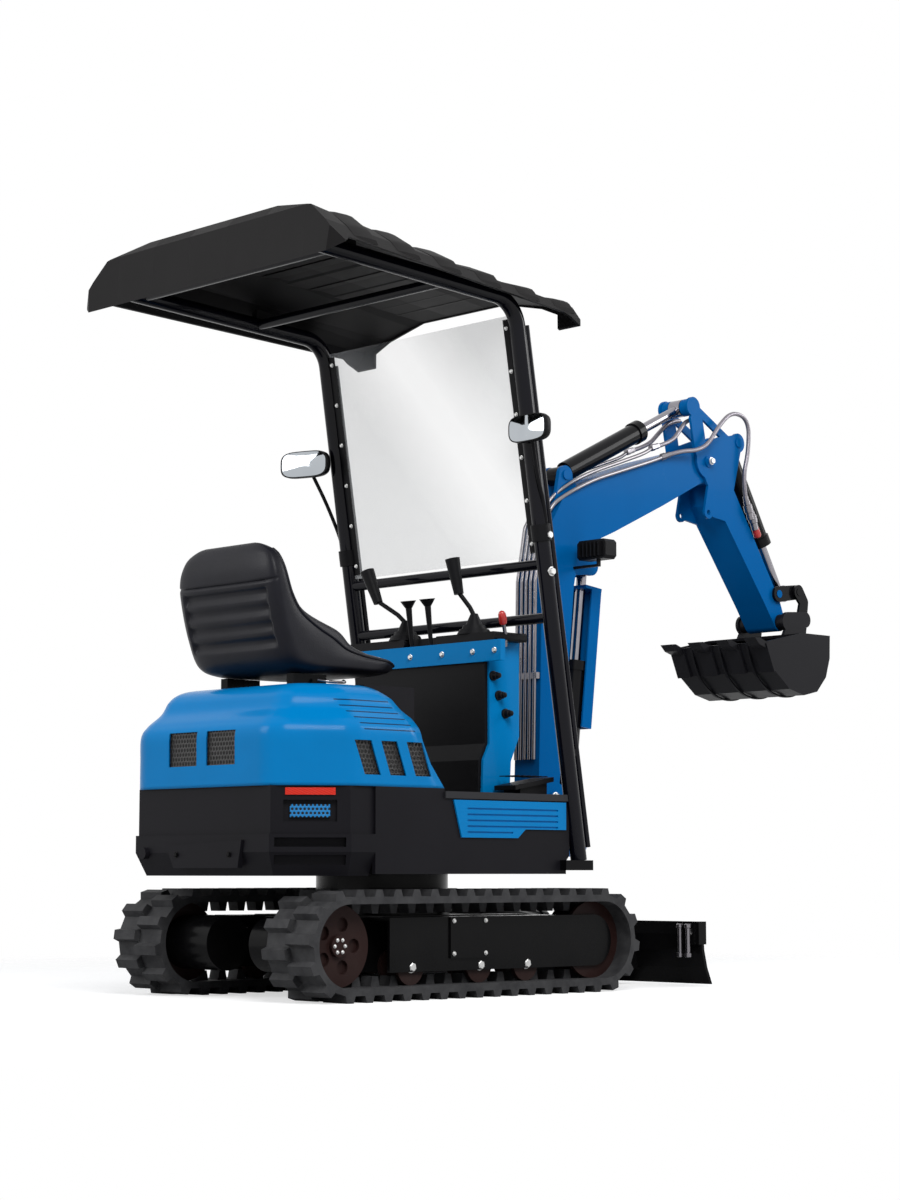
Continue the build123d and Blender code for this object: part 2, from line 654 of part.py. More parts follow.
def make_console():
    # Painted steel: the top beam and the two cheek plates.
    beam = box(CONSOLE_X, CONSOLE_X + BEAM_T, -BEAM_HALF, BEAM_HALF, BEAM_Z0, BEAM_Z1)
    wide = CONSOLE_HALF + CHEEK_T
    top = box(CONSOLE_X, CONSOLE_X + CONSOLE_DEEP, -wide, wide, BEAM_Z0 - 1, BEAM_Z1)
    cheek = slab(console_side(CONSOLE_X + 22, CONSOLE_X + CONSOLE_DEEP), -CONSOLE_HALF - CHEEK_T, -CONSOLE_HALF)
    return fuse(beam, top, cheek, mirror(cheek, about=Plane.XZ))


def make_console_panel():
    # Moulded covers: the panel that faces the operator, and the deck under the levers.
    panel = slab(console_side(CONSOLE_X + 10, CONSOLE_X + CONSOLE_DEEP - 6), -CONSOLE_HALF, CONSOLE_HALF)
    panel = panel - box(0, 400, -CONSOLE_HALF - 1, CONSOLE_HALF + 1, BEAM_Z0 - 1, BEAM_Z0 + 1)
    deck = box(CONSOLE_X + 6, CONSOLE_X + CONSOLE_DEEP - 4, -340, 340, BEAM_Z1, BEAM_Z1 + DECK_LIFT)
    deck = deck - box(CONSOLE_X, CONSOLE_X + 30, -80, 60, BEAM_Z1 - 1, BEAM_Z1 + DECK_LIFT + 1)
    return [panel, chamfer(deck.edges().filter_by(Axis.X), 6)]


STICK_X = 192
STICK_Z = BEAM_Z1 + DECK_LIFT
STICKS = ((-205, 54), (102, 140))


def make_joystick(y, lean):
    # A stepped rubber boot, a bent stem and a tapered grip, set over by a lean sideways.
    boot = Pos(STICK_X, y, STICK_Z + 8) * Cone(54, 46, 16)
    collar = Pos(STICK_X, y, STICK_Z + 22) * Cone(40, 34, 14)
    cone = Pos(STICK_X, y, STICK_Z + 46) * Cone(28, 11, 38)
    stem_top = (STICK_X - 30, y + lean * 0.7, STICK_Z + 132)
    foot = (STICK_X, y, STICK_Z + 58)
    bend = (STICK_X - 8, y + lean * 0.2, STICK_Z + 85)
    path = FilletPolyline(foot, bend, stem_top, radius=12)
    stem = sweep(Plane(origin=foot, z_dir=(-8, lean * 0.2, 27)) * Circle(7), path=path)
    tilt = (-12, lean * 0.3, 108)
    grip = Plane(origin=stem_top, z_dir=tilt) * Pos(0, 0, 50) * Cone(15, 23, 112)
    return fuse(boot, collar, cone, stem, grip)


def make_joysticks():
    return [make_joystick(y, lean) for y, lean in STICKS]


LEVER_YS = (-56, 30)


def make_levers():
    # Two slim travel levers with flared knobs, standing in the notch of the deck.
    made = []
    for y in LEVER_YS:
        foot = (CONSOLE_X + 12, y, BEAM_Z1)
        stem = Plane(origin=foot, z_dir=(-12, 0, 100)) * Pos(0, 0, 62) * Cone(6, 10, 124)
        knob = Plane(origin=foot, z_dir=(-12, 0, 100)) * Pos(0, 0, 134) * Cone(11, 25, 22)
        made.append(fuse(stem, knob) - box(0, 300, -200, 200, BEAM_Z1 - 40, BEAM_Z1))
    return made


PEDAL_Y = (-402, -312)
PEDAL_X = (170, 335)


def make_pedal():
    x0, x1 = PEDAL_X
    y0, y1 = PEDAL_Y
    base = slab([(x0 + 30, FLOOR_Z), (x1 - 20, FLOOR_Z), (x1 - 20, FLOOR_Z + 36), (x0 + 30, FLOOR_Z + 20)],
                y0 + 10, y1 - 10)
    tread = slab([(x0, FLOOR_Z + 12), (x1, FLOOR_Z + 40), (x1, FLOOR_Z + 54), (x0, FLOOR_Z + 26)], y0, y1)
    return fuse(base, tread)


def canopy_z(x):
    # Height of the tubes under the roof, which rise towards the rear.
    return CANOPY_Z + (post_x(CANOPY_Z) - x) * CANOPY_RISE


def canopy_line(y, radius):
    middle = (post_x(CANOPY_Z) + CANOPY_REAR) / 2
    turn = slope((CANOPY_REAR, canopy_z(CANOPY_REAR)), (post_x(CANOPY_Z), CANOPY_Z))
    return Pos(middle, y, canopy_z(middle)) * Rot(0, 90 - turn, 0) * Cylinder(radius, 2 * middle - 3 * CANOPY_REAR)


def make_canopy_tube():
    start = (POST_FOOT[0], -POST_Y, POST_FOOT[1])
    knee = (post_x(CANOPY_Z), -POST_Y, CANOPY_Z)
    end = (CANOPY_REAR, -POST_Y, canopy_z(CANOPY_REAR))
    path = FilletPolyline(start, knee, end, radius=BEND_R)
    tube = sweep(Plane(origin=start, z_dir=POST_DIR) * Circle(TUBE_R), path=path)
    floor = box(POST_FOOT[0] - 60, POST_FOOT[0] + 60, -POST_Y - 60, -POST_Y + 60, POST_FOOT[1] - 40, POST_FOOT[1])
    return tube - floor


RAIL_R = 9
RAIL_GAP = 6
RAIL_STAYS = (720, 1240, 1820)


def make_post_rail():
    # A thin rail in front of the right post, held to it by short stays.
    set_out = TUBE_R + RAIL_GAP + RAIL_R
    low = (POST_FOOT[0] + set_out, -POST_Y, POST_FOOT[1] + 40)
    top_z = CANOPY_Z - 70
    rail = Plane(origin=low, z_dir=(post_x(top_z) + set_out - low[0], 0, top_z - low[2])) * Circle(RAIL_R)
    rail = extrude(rail, amount=span((low[0], low[2]), (post_x(top_z) + set_out, top_z)))
    stays = [box(post_x(z), post_x(z) + set_out, -POST_Y - 5, -POST_Y + 5, z - 10, z + 10) for z in RAIL_STAYS]
    return fuse(rail, *stays) - post_line(-POST_Y, TUBE_R)


def make_crossbars():
    reach = POST_Y - TUBE_R + 8
    made = []
    for z in (1126, 1287):
        rung = pin((post_x(z), z), BAR_R, -reach, reach)
        for side in (-1, 1):
            line = Pos(post_x(z), side * POST_Y, z) * Rot(0, -POST_LEAN, 0) * Cylinder(TUBE_R, 200)
            rung = rung - line
        made.append(rung)
    for x in (-600, -150):
        rung = pin((x, canopy_z(x)), BAR_R, -reach, reach)
        for side in (-1, 1):
            rung = rung - canopy_line(side * POST_Y, TUBE_R)
        made.append(rung)
    return made


def roof_side(inset):
    # Side view of the roof: an upright back, a top that falls towards the front in five shallow
    # ribs, and a lower rim that droops at both ends.
    points = [(ROOF_REAR + inset, ROOF_EDGE_Z + 44), (ROOF_REAR + 12 + inset, ROOF_TOP_Z - 30 - inset),
              (ROOF_REAR + 40 + inset, ROOF_TOP_Z - inset)]
    for i in range(ROOF_RIBS):
        x = ROOF_REAR + 75 + i * ROOF_RIB_STEP
        z = ROOF_TOP_Z - inset - (x - ROOF_REAR) * ROOF_FALL
        points = points + [(x, z), (x + 22, z + ROOF_RIB_H), (x + 85, z + ROOF_RIB_H - 6), (x + 107, z - 11)]
    return points + [(ROOF_FRONT - inset, ROOF_NOSE_Z + 12 - inset), (ROOF_FRONT - inset, ROOF_EDGE_Z),
                     (ROOF_FRONT - 70, ROOF_EDGE_Z + 34), (ROOF_REAR + 60, ROOF_EDGE_Z + 88)]


def roof_section(x, half, edge, flank, shoulder, crown):
    # Cross-section of the roof: edge, flank, shoulder and crown, each as (distance in, height).
    right = [(-half, ROOF_EDGE_Z - 10)]
    for inward, z in (edge, flank, shoulder, crown):
        right.append((-half + inward, z))
    return Pos(x, 0, 0) * (Plane.YZ * Polygon(*(right + [(-y, z) for y, z in reversed(right)]), align=None))


def roof_solid(inset):
    # The crown is broad at the rear and narrow at the front, so two sections are joined by a loft.
    half = ROOF_HALF - inset * 1.3
    rear = roof_section(ROOF_REAR, half, (0, ROOF_EDGE_Z + 74), (60, ROOF_TOP_Z - 88 - inset),
                        (125, ROOF_TOP_Z - 32 - inset), (330, ROOF_TOP_Z + 10 - inset))
    nose = roof_section(ROOF_FRONT, half - ROOF_TAPER, (0, ROOF_EDGE_Z + 20), (34, ROOF_NOSE_Z - 62 - inset),
                        (140, ROOF_NOSE_Z - 36 - inset), (310, ROOF_NOSE_Z - inset))
    wide = ROOF_HALF - inset
    plan = layer([(ROOF_REAR + inset, -wide + 50), (ROOF_REAR + 30 + inset, -wide), (ROOF_FRONT - inset, -wide),
                  (ROOF_FRONT - inset, wide), (ROOF_REAR + 30 + inset, wide), (ROOF_REAR + inset, wide - 50)],
                 0, ROOF_TOP_Z + 100)
    return loft([rear, nose], ruled=True) & slab(roof_side(inset), -ROOF_HALF, ROOF_HALF) & plan


ARCH_DEEP = 70


def make_roof():
    outer = roof_solid(0)
    shell = outer - roof_solid(ROOF_T)
    edge = ROOF_HALF - ROOF_TAPER
    arch = [(-edge + 70, 0), (-edge + 90, ROOF_EDGE_Z + 48), (-edge + 160, ROOF_NOSE_Z - 48),
            (-edge + 320, ROOF_NOSE_Z - 10)]
    arch = arch + [(-y, z) for y, z in reversed(arch)]
    arch = extrude(Plane.YZ * Polygon(*arch, align=None), amount=ARCH_DEEP + 20, dir=(1, 0, 0))
    shell = shell - Pos(ROOF_FRONT - ARCH_DEEP, 0, 0) * arch
    made = []
    for side in (-1, 1):
        for x in (-560, -120):
            y = side * POST_Y
            stay = box(x - 40, x + 40, y - 12, y + 12, canopy_z(x), ROOF_TOP_Z + 50) & outer
            made.append(stay - canopy_line(y, TUBE_R))
    return fuse(shell, *made)


GLASS_Z0 = 1310
GLASS_Z1 = 2038


def make_windshield():
    low = post_x(GLASS_Z0)
    high = post_x(GLASS_Z1)
    half = POST_Y - TUBE_R
    t = GLASS_T / 2
    return slab([(low - t, GLASS_Z0), (low + t, GLASS_Z0), (high + t, GLASS_Z1), (high - t, GLASS_Z1)], -half, half)


MIRROR_Z = 1684
MIRROR_W = 158
MIRROR_H = 84
MIRROR_D = 34
MIRROR_ROD_R = 6
MIRROR_OUT = (46, 84)
CLAMP_Z = 1372


def make_mirror(out):
    # A wide oval mirror on a rod that rises from a clamp on the right post.
    x = post_x(MIRROR_Z) - TUBE_R - MIRROR_D / 2 - 8
    y = -POST_Y - out
    head = extrude(Plane.YZ * SlotOverall(MIRROR_W, MIRROR_H), amount=MIRROR_D / 2, both=True)
    head = Pos(x, y, MIRROR_Z) * head
    foot = (post_x(CLAMP_Z) - TUBE_R - 24, -POST_Y - 10, CLAMP_Z - 30)
    bend = (post_x(CLAMP_Z) - TUBE_R - 34, -POST_Y - 12, CLAMP_Z + 60)
    top = (x, y, MIRROR_Z)
    path = FilletPolyline(foot, bend, top, radius=30)
    rise = (bend[0] - foot[0], bend[1] - foot[1], bend[2] - foot[2])
    arm = sweep(Plane(origin=foot, z_dir=rise) * Circle(MIRROR_ROD_R), path=path)
    clamp = box(foot[0] - 6, post_x(CLAMP_Z), -POST_Y - 22, -POST_Y + 14, CLAMP_Z - 32, CLAMP_Z + 32)
    return fuse(head, arm, clamp) - post_line(-POST_Y, TUBE_R)


def make_mirrors():
    return [make_mirror(MIRROR_OUT[0]), mirror(make_mirror(MIRROR_OUT[1]), about=Plane.XZ)]


# Digging arm. The boom foot turns on the swing bracket, the dipper on the boom
# tip and the bucket on the dipper tip; the bucket's rocker and link make a
# parallelogram with the two pins of the bucket and the dipper.
BRACKET_IN = BOOM_HALF + SIDE_GAP
BRACKET_OUT = BRACKET_IN + 16
TUBE_Z0 = LUG_Z[0][1] + 2
TUBE_Z1 = LUG_Z[1][0] - 2


def make_swing_bracket():
    outline = [(530, TUBE_Z0), (770, TUBE_Z0), (815, 415), (836, 455), (815, 495), (755, 560), (735, 600),
               (720, 640), (640, 640), (622, 575), (618, TUBE_Z1), (530, TUBE_Z1)]
    made = []
    for side in (-1, 1):
        y0 = min(side * BRACKET_IN, side * BRACKET_OUT)
        y1 = max(side * BRACKET_IN, side * BRACKET_OUT)
        plate = slab(outline, y0, y1)
        plate = fuse(plate, pin(BOOM_FOOT, 52, y0, y1), pin(BOOM_RAM_BASE, 44, y0, y1))
        lo = min(side * RAM_EAR_Y0, side * (BRACKET_IN + 1))
        hi = max(side * RAM_EAR_Y0, side * (BRACKET_IN + 1))
        made.append(fuse(plate, pin(BOOM_RAM_BASE, EYE_R, lo, hi)))
    knuckle = post(SWING_X, 0, LUG_R - 2, TUBE_Z0, TUBE_Z1)
    web = box(SWING_X, SWING_X + 80, -BRACKET_IN - 1, BRACKET_IN + 1, TUBE_Z0, TUBE_Z1)
    flank = box(SWING_X - 30, SWING_X + 80, -BRACKET_OUT, BRACKET_OUT, TUBE_Z0, TUBE_Z1)
    flank = flank - box(SWING_X - 31, SWING_X, -BRACKET_IN, BRACKET_IN, TUBE_Z0 - 1, TUBE_Z1 + 1)
    body = fuse(knuckle, web, flank, *made)
    body = body - post(SWING_X, 0, SWING_PIN_R + FIT, TUBE_Z0 - 1, TUBE_Z1 + 1)
    ends = BRACKET_OUT + 6
    return fuse(body, pin(BOOM_FOOT, 20, -ends, ends), pin(BOOM_RAM_BASE, PIN_R - FIT, -ends, ends))


FOOT_R = 46
TIP_R = 56
BOOM_LINE = [(630, 610), (642, 1000), (650, 1300), (682, 1470), (755, 1585), (900, 1662), (1180, 1755),
             (1455, 1832), (1500, 1728), (1250, 1605), (1000, 1490), (830, 1420), (800, 1290), (765, 950),
             (724, 620)]


def make_boom():
    beam = slab(BOOM_LINE, -BOOM_HALF, BOOM_HALF)
    beam = fuse(beam, pin(BOOM_FOOT, FOOT_R, -BOOM_HALF, BOOM_HALF), pin(BOOM_TIP, TIP_R, -BOOM_HALF, BOOM_HALF))
    made = []
    for side in (-1, 1):
        y0 = min(side * RAM_EAR_Y0, side * RAM_EAR_Y1)
        y1 = max(side * RAM_EAR_Y0, side * RAM_EAR_Y1)
        made.append(slab([(806, 1330), (826, 1425), (950, 1475), (928, 1360), (885, 1338)], y0, y1))
        made.append(pin(BOOM_RAM_EYE, EYE_R + 4, y0, y1))
        made.append(slab([(720, 1530), (750, 1670), (800, 1672), (838, 1615)], y0, y1))
        made.append(pin(DIPPER_RAM_BASE, EYE_R + 2, y0, y1))
    made.append(pin(DIPPER_RAM_BASE, PIN_R - FIT, -RAM_EAR_Y1 - 5, RAM_EAR_Y1 + 5))
    beam = fuse(beam, *made)
    beam = beam - pin(BOOM_FOOT, 20 + FIT, -BOOM_HALF - 1, BOOM_HALF + 1)
    beam = beam - pin(BOOM_TIP, 20 + FIT, -BOOM_HALF - 1, BOOM_HALF + 1)
    return beam - pin(DIPPER_RAM_BASE, EYE_R + 6, -RAM_EAR_Y0, RAM_EAR_Y0) + pin(
        DIPPER_RAM_BASE, PIN_R - FIT, -RAM_EAR_Y0, RAM_EAR_Y0)


LAMP_X = (776, 842)
LAMP_Y = (-206, -80)
LAMP_Z = (1372, 1436)
LAMP_FINS = 6


def make_lamp():
    # Finned lamp on a bent strap at the boom's right side, facing forward.
    x0, x1 = LAMP_X
    y0, y1 = LAMP_Y
    z0, z1 = LAMP_Z
    body = chamfer(box(x0 + 14, x1, y0, y1, z0, z1).edges().filter_by(Axis.X), 10)
    pitch = (y1 - y0 - 24) / LAMP_FINS
    fins = []
    for i in range(LAMP_FINS):
        y = y0 + 12 + (i + 0.5) * pitch
        fins.append(box(x0, x0 + 15, y - 3, y + 3, z0 + 8, z1 - 8))
    strap = fuse(box(x0 + 22, x0 + 34, y0 + 40, -BOOM_HALF, z0 - 24, z0 - 16),
                 box(x0 + 22, x0 + 34, y0 + 40, y0 + 48, z0 - 24, z0 + 4))
    return fuse(body, strap, *fins)


PIPE_R = 6
PIPE_STEP = 20


def make_boom_pipes():
    made = []
    for i in range(5):
        y = (i - 2) * PIPE_STEP
        path = FilletPolyline((622, y, 720), (634, y, 1300), (668, y, 1480), (700, y, 1530), radius=30)
        made.append(sweep(Plane(origin=(622, y, 720), z_dir=(12, 0, 580)) * Circle(PIPE_R), path=path))
    clip = box(624, 641, -2 * PIPE_STEP - 12, 2 * PIPE_STEP + 12, 980, 1000)
    return fuse(clip, *made)


# The dipper's own directions: down along it, and outward from the machine.
DIP_L = span(BOOM_TIP, BUCKET_PIN)
DIP_U = ((BUCKET_PIN[0] - BOOM_TIP[0]) / DIP_L, (BUCKET_PIN[1] - BOOM_TIP[1]) / DIP_L)
DIP_V = (-DIP_U[1], DIP_U[0])


def dip(u, v):
    return (BOOM_TIP[0] + u * DIP_U[0] + v * DIP_V[0], BOOM_TIP[1] + u * DIP_U[1] + v * DIP_V[1])


ROCKER_PIN = dip(DIP_L - ROCKER_BACK, ROCKER_OUT)
LEAN = radians(ROCKER_ANGLE)
ARM_U = -cos(LEAN) * ROCKER_L
ARM_V = sin(LEAN) * ROCKER_L
ARM_X = ARM_U * DIP_U[0] + ARM_V * DIP_V[0]
ARM_Z = ARM_U * DIP_U[1] + ARM_V * DIP_V[1]
BUCKET_RAM_EYE = (ROCKER_PIN[0] + ARM_X, ROCKER_PIN[1] + ARM_Z)
LINK_PIN = (BUCKET_PIN[0] + ARM_X, BUCKET_PIN[1] + ARM_Z)
DIP_IN = BOOM_HALF + 2
DIP_OUT = DIP_IN + DIPPER_T
ROCKER_Y = DIP_OUT + SIDE_GAP
LINK_Y = ROCKER_Y + LINK_T + SIDE_GAP
EAR_Y = LINK_Y + LINK_T + SIDE_GAP
EAR_T = 12
SMALL_PIN_R = 14
TIP_ROUND = 32
THUMB = (145, -104)
THUMB_R = 9
THUMB_EAR_R = 22
HEAD_HOLE = [dip(-135, 62), dip(-40, 108), dip(-62, 30)]


def make_dipper():
    head = [DIPPER_RAM_EYE, dip(-190, 66), dip(-20, 150), dip(10, 212), dip(48, 190), dip(150, 62),
            dip(DIP_L - 60, 46), dip(DIP_L, TIP_ROUND), dip(DIP_L, -TIP_ROUND), dip(DIP_L - 90, -TIP_ROUND),
            dip(60, -50), dip(-60, -40),
            dip(-170, 10)]
    made = []
    for side in (-1, 1):
        y0 = min(side * DIP_IN, side * DIP_OUT)
        y1 = max(side * DIP_IN, side * DIP_OUT)
        plate = slab(head, y0, y1)
        ear = slab([dip(60, -40), dip(THUMB[0] - 20, THUMB[1] - 10), dip(THUMB[0] + 24, THUMB[1] + 10),
                    dip(220, -40)], y0, y1)
        plate = fuse(plate, pin(DIPPER_RAM_EYE, EYE_R + 4, y0, y1), pin(BOOM_TIP, 60, y0, y1),
                     pin(BUCKET_RAM_BASE, EYE_R + 4, y0, y1), pin(BUCKET_PIN, TIP_ROUND, y0, y1),
                     ear, pin(dip(*THUMB), THUMB_EAR_R, y0, y1))
        plate = plate - pin(dip(*THUMB), THUMB_R, y0 - 1, y1 + 1) - slab(HEAD_HOLE, y0 - 1, y1 + 1)
        lo = min(side * RAM_EAR_Y0, side * (DIP_IN + 1))
        hi = max(side * RAM_EAR_Y0, side * (DIP_IN + 1))
        made.append(plate)
        made.append(pin(DIPPER_RAM_EYE, EYE_R, lo, hi))
        made.append(pin(BUCKET_RAM_BASE, EYE_R, lo, hi))
    beam = slab([dip(85, 0), dip(110, 62), dip(150, 62), dip(DIP_L - 60, 46), dip(DIP_L, TIP_ROUND),
                 dip(DIP_L, -TIP_ROUND), dip(DIP_L - 90, -TIP_ROUND), dip(145, -46)], -DIP_IN - 1, DIP_IN + 1)
    tip = pin(BUCKET_PIN, TIP_ROUND, -DIP_OUT, DIP_OUT)
    ends = DIP_OUT + 5
    made.append(pin(BOOM_TIP, 20, -ends, ends))
    made.append(pin(BUCKET_RAM_BASE, PIN_R - FIT, -ends, ends))
    reach = ROCKER_Y + LINK_T + 2
    body = fuse(beam, tip, *made)
    body = fuse(body, pin(ROCKER_PIN, SMALL_PIN_R, -reach, reach))
    return body - pin(BUCKET_PIN, PIN_R + FIT, -DIP_OUT - 1, DIP_OUT + 1)


def lobe(p, q, radius_p, radius_q, y0, y1):
    # A link plate with round ends.
    a = radians(slope(p, q))
    nx = -sin(a)
    nz = cos(a)
    side = [(p[0] + nx * radius_p, p[1] + nz * radius_p), (q[0] + nx * radius_q, q[1] + nz * radius_q),
            (q[0] - nx * radius_q, q[1] - nz * radius_q), (p[0] - nx * radius_p, p[1] - nz * radius_p)]
    return fuse(slab(side, y0, y1), pin(p, radius_p, y0, y1), pin(q, radius_q, y0, y1))


def make_rocker():
    plate = lobe(ROCKER_PIN, BUCKET_RAM_EYE, 28, 26, -ROCKER_Y - LINK_T, -ROCKER_Y)
    plate = plate - pin(ROCKER_PIN, SMALL_PIN_R + FIT, -ROCKER_Y - LINK_T - 1, -ROCKER_Y + 1)
    spacer = pin(BUCKET_RAM_EYE, 24, -ROCKER_Y - 1, -RAM_EAR_Y0)
    stub = pin(BUCKET_RAM_EYE, SMALL_PIN_R, -LINK_Y - LINK_T - 2, -ROCKER_Y - LINK_T + 1)
    return fuse(plate, spacer, stub)


LINK_BOW = 26


def make_link():
    # Two bowed plates, one on each side, that tie the rocker's end to the bucket.
    middle_x = (BUCKET_RAM_EYE[0] + LINK_PIN[0]) / 2
    middle_z = (BUCKET_RAM_EYE[1] + LINK_PIN[1]) / 2
    outer = (middle_x + LINK_BOW * DIP_V[0], middle_z + LINK_BOW * DIP_V[1])
    made = []
    for side in (-1, 1):
        y0 = min(side * LINK_Y, side * (LINK_Y + LINK_T))
        y1 = max(side * LINK_Y, side * (LINK_Y + LINK_T))
        plate = fuse(lobe(BUCKET_RAM_EYE, outer, 26, 22, y0, y1), lobe(outer, LINK_PIN, 22, 26, y0, y1))
        for p in (BUCKET_RAM_EYE, LINK_PIN):
            plate = plate - pin(p, SMALL_PIN_R + FIT, y0 - 1, y1 + 1)
        made.append(plate)
    return made


BUCKET_SKIN = [(1596, 1150), (1642, 1052), (1722, 992), (1802, 974), (1876, 990), (1928, 1044), (1951, 1112),
               (1954, 1192), (1800, 1192)]
BUCKET_HOLLOW = [(1590, 1172), (1651, 1058), (1727, 1001), (1802, 984), (1871, 999), (1920, 1050), (1941, 1115),
                 (1944, 1182), (1800, 1182), (1790, 1215)]


def make_bucket():
    half = BUCKET_W / 2
    shell = slab(BUCKET_SKIN, -half, half) - slab(BUCKET_HOLLOW, -half + BUCKET_T, half - BUCKET_T)
    made = []
    for side in (-1, 1):
        y0 = min(side * EAR_Y, side * (EAR_Y + EAR_T))
        y1 = max(side * EAR_Y, side * (EAR_Y + EAR_T))
        plate = slab([(BUCKET_PIN[0] - 34, 1186), BUCKET_PIN, (BUCKET_PIN[0], BUCKET_PIN[1] + 34),
                      (LINK_PIN[0], LINK_PIN[1] + 28), (LINK_PIN[0] + 10, LINK_PIN[1]), (1952, 1186)], y0, y1)
        made.append(fuse(plate, pin(BUCKET_PIN, 34, y0, y1), pin(LINK_PIN, 28, y0, y1)))
        lo = min(side * (DIP_OUT + 1), side * (EAR_Y + 1))
        hi = max(side * (DIP_OUT + 1), side * (EAR_Y + 1))
        made.append(pin(BUCKET_PIN, 28, lo, hi))
        lo = min(side * (LINK_Y - 1), side * (EAR_Y + 1))
        hi = max(side * (LINK_Y - 1), side * (EAR_Y + 1))
        made.append(pin(LINK_PIN, SMALL_PIN_R, lo, hi))
    made.append(pin(BUCKET_PIN, PIN_R, -EAR_Y - 1, EAR_Y + 1))
    return fuse(shell, *made)


def make_teeth():
    made = []
    pitch = (BUCKET_W - TOOTH_W) / 3
    for i in range(4):
        y = -BUCKET_W / 2 + i * pitch
        made.append(slab([(1596, 1150), (1607, 1125), (1560, 1138), (1536, 1160), (1560, 1162)], y, y + TOOTH_W))
    return made


BOOM_BARREL_L = 600
DIPPER_BARREL_L = 455
BUCKET_BARREL_L = 395
BLADE_BARREL_L = 340
BOOM_ROD_START = 316
DIPPER_ROD_START = 245
BUCKET_ROD_START = 235
BLADE_ROD_START = 120
GUARD_L = 470
GUARD_HALF = 46


def make_guard():
    reach = span(BOOM_RAM_BASE, BOOM_RAM_EYE)
    place = along(BOOM_RAM_BASE, BOOM_RAM_EYE, reach - 70 - GUARD_L / 2)
    face = Pos(0, 0, -BARREL_R - 16) * Box(GUARD_L, 2 * GUARD_HALF, 6)
    near = Pos(0, -GUARD_HALF + 3, -BARREL_R + 6) * Box(GUARD_L, 6, 40)
    far = Pos(0, GUARD_HALF - 3, -BARREL_R + 6) * Box(GUARD_L, 6, 40)
    lid = Pos(GUARD_L / 2 - 5, 0, -15) * Box(10, 2 * GUARD_HALF, 78)
    shaft = Rot(0, 90, 0) * Cylinder(ROD_R, GUARD_L + 2)
    return place * (fuse(face, near, far, lid) - shaft)


pieces = {
    "chassis": make_chassis(),
    "track_frames": both(make_track_frame()),
    "sprockets": both(make_sprocket()),
    "idlers": both(make_idler()),
    "travel_motors": both(make_motor()),
    "track_right": make_track(),
    "blade": make_blade(),
    "blade_ram_barrel": barrel(BLADE_RAM_BASE, BLADE_RAM_EYE, BLADE_BARREL_L, PIN_R),
    "blade_ram_rod": rod(BLADE_RAM_BASE, BLADE_RAM_EYE, BLADE_ROD_START),
    "slew_deck": make_deck(),
    "counterweight": make_counterweight(),
    "reflectors": both(make_reflector()),
    "corner_vents": both(make_corner_vent()),
    "skirts": both(make_skirt()),
    "skirt_inserts": both(make_insert()),
    "floor_plate": make_floor(),
    "engine_hood": make_hood(),
    "hood_grilles": make_grilles(),
    "engine": make_engine(),
    "seat_box": make_seat_box(),
    "seat": make_seat(),
    "seat_rails": make_seat_rails(),
    "console": make_console(),
    "console_panel": make_console_panel(),
    "joysticks": make_joysticks(),
    "levers": make_levers(),
    "pedal": make_pedal(),
    "canopy_tubes": both(make_canopy_tube()),
    "post_rails": both(make_post_rail()),
    "crossbars": make_crossbars(),
    "roof": make_roof(),
    "windshield": make_windshield(),
    "mirrors": make_mirrors(),
    "swing_bracket": make_swing_bracket(),
    "boom": make_boom(),
    "boom_pipes": make_boom_pipes(),
    "work_lamp": make_lamp(),
    "boom_ram_barrel": barrel(BOOM_RAM_BASE, BOOM_RAM_EYE, BOOM_BARREL_L, PIN_R),
    "boom_ram_rod": rod(BOOM_RAM_BASE, BOOM_RAM_EYE, BOOM_ROD_START),
    "boom_ram_guard": make_guard(),
    "dipper_ram_barrel": barrel(DIPPER_RAM_BASE, DIPPER_RAM_EYE, DIPPER_BARREL_L, PIN_R),
    "dipper_ram_rod": rod(DIPPER_RAM_BASE, DIPPER_RAM_EYE, DIPPER_ROD_START),
    "dipper": make_dipper(),
    "bucket_ram_barrel": barrel(BUCKET_RAM_BASE, BUCKET_RAM_EYE, BUCKET_BARREL_L, PIN_R),
    "bucket_ram_rod": rod(BUCKET_RAM_BASE, BUCKET_RAM_EYE, BUCKET_ROD_START),
    "rocker": both(make_rocker()),
    "bucket_link": make_link(),
    "bucket": make_bucket(),
    "bucket_teeth": make_teeth(),
}
pieces["track_left"] = mirror(pieces["track_right"], about=Plane.XZ)
rollers = make_rollers()
pieces["rollers"] = rollers + [mirror(roller, about=Plane.XZ) for roller in rollers]


def whole(made):
    return Compound(children=made) if isinstance(made, list) else made


shapes = {name: whole(made) for name, made in pieces.items()}
boxes = [shape.bounding_box() for shape in shapes.values()]
rear = min(b.min.X for b in boxes)
fore = max(b.max.X for b in boxes)
SHIFT = -(rear + fore) / 2

os.makedirs("parts", exist_ok=True)
for name, shape in shapes.items():
    export_step(Pos(SHIFT, 0, 0) * shape, "parts/" + name + ".step")
print("shift", round(SHIFT, 3), "rear", round(rear, 3), "front", round(fore, 3))
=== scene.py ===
"""Looks of a small tracked excavator: finishes for its solids, and the soft and fine pieces over them."""

from math import pi, radians

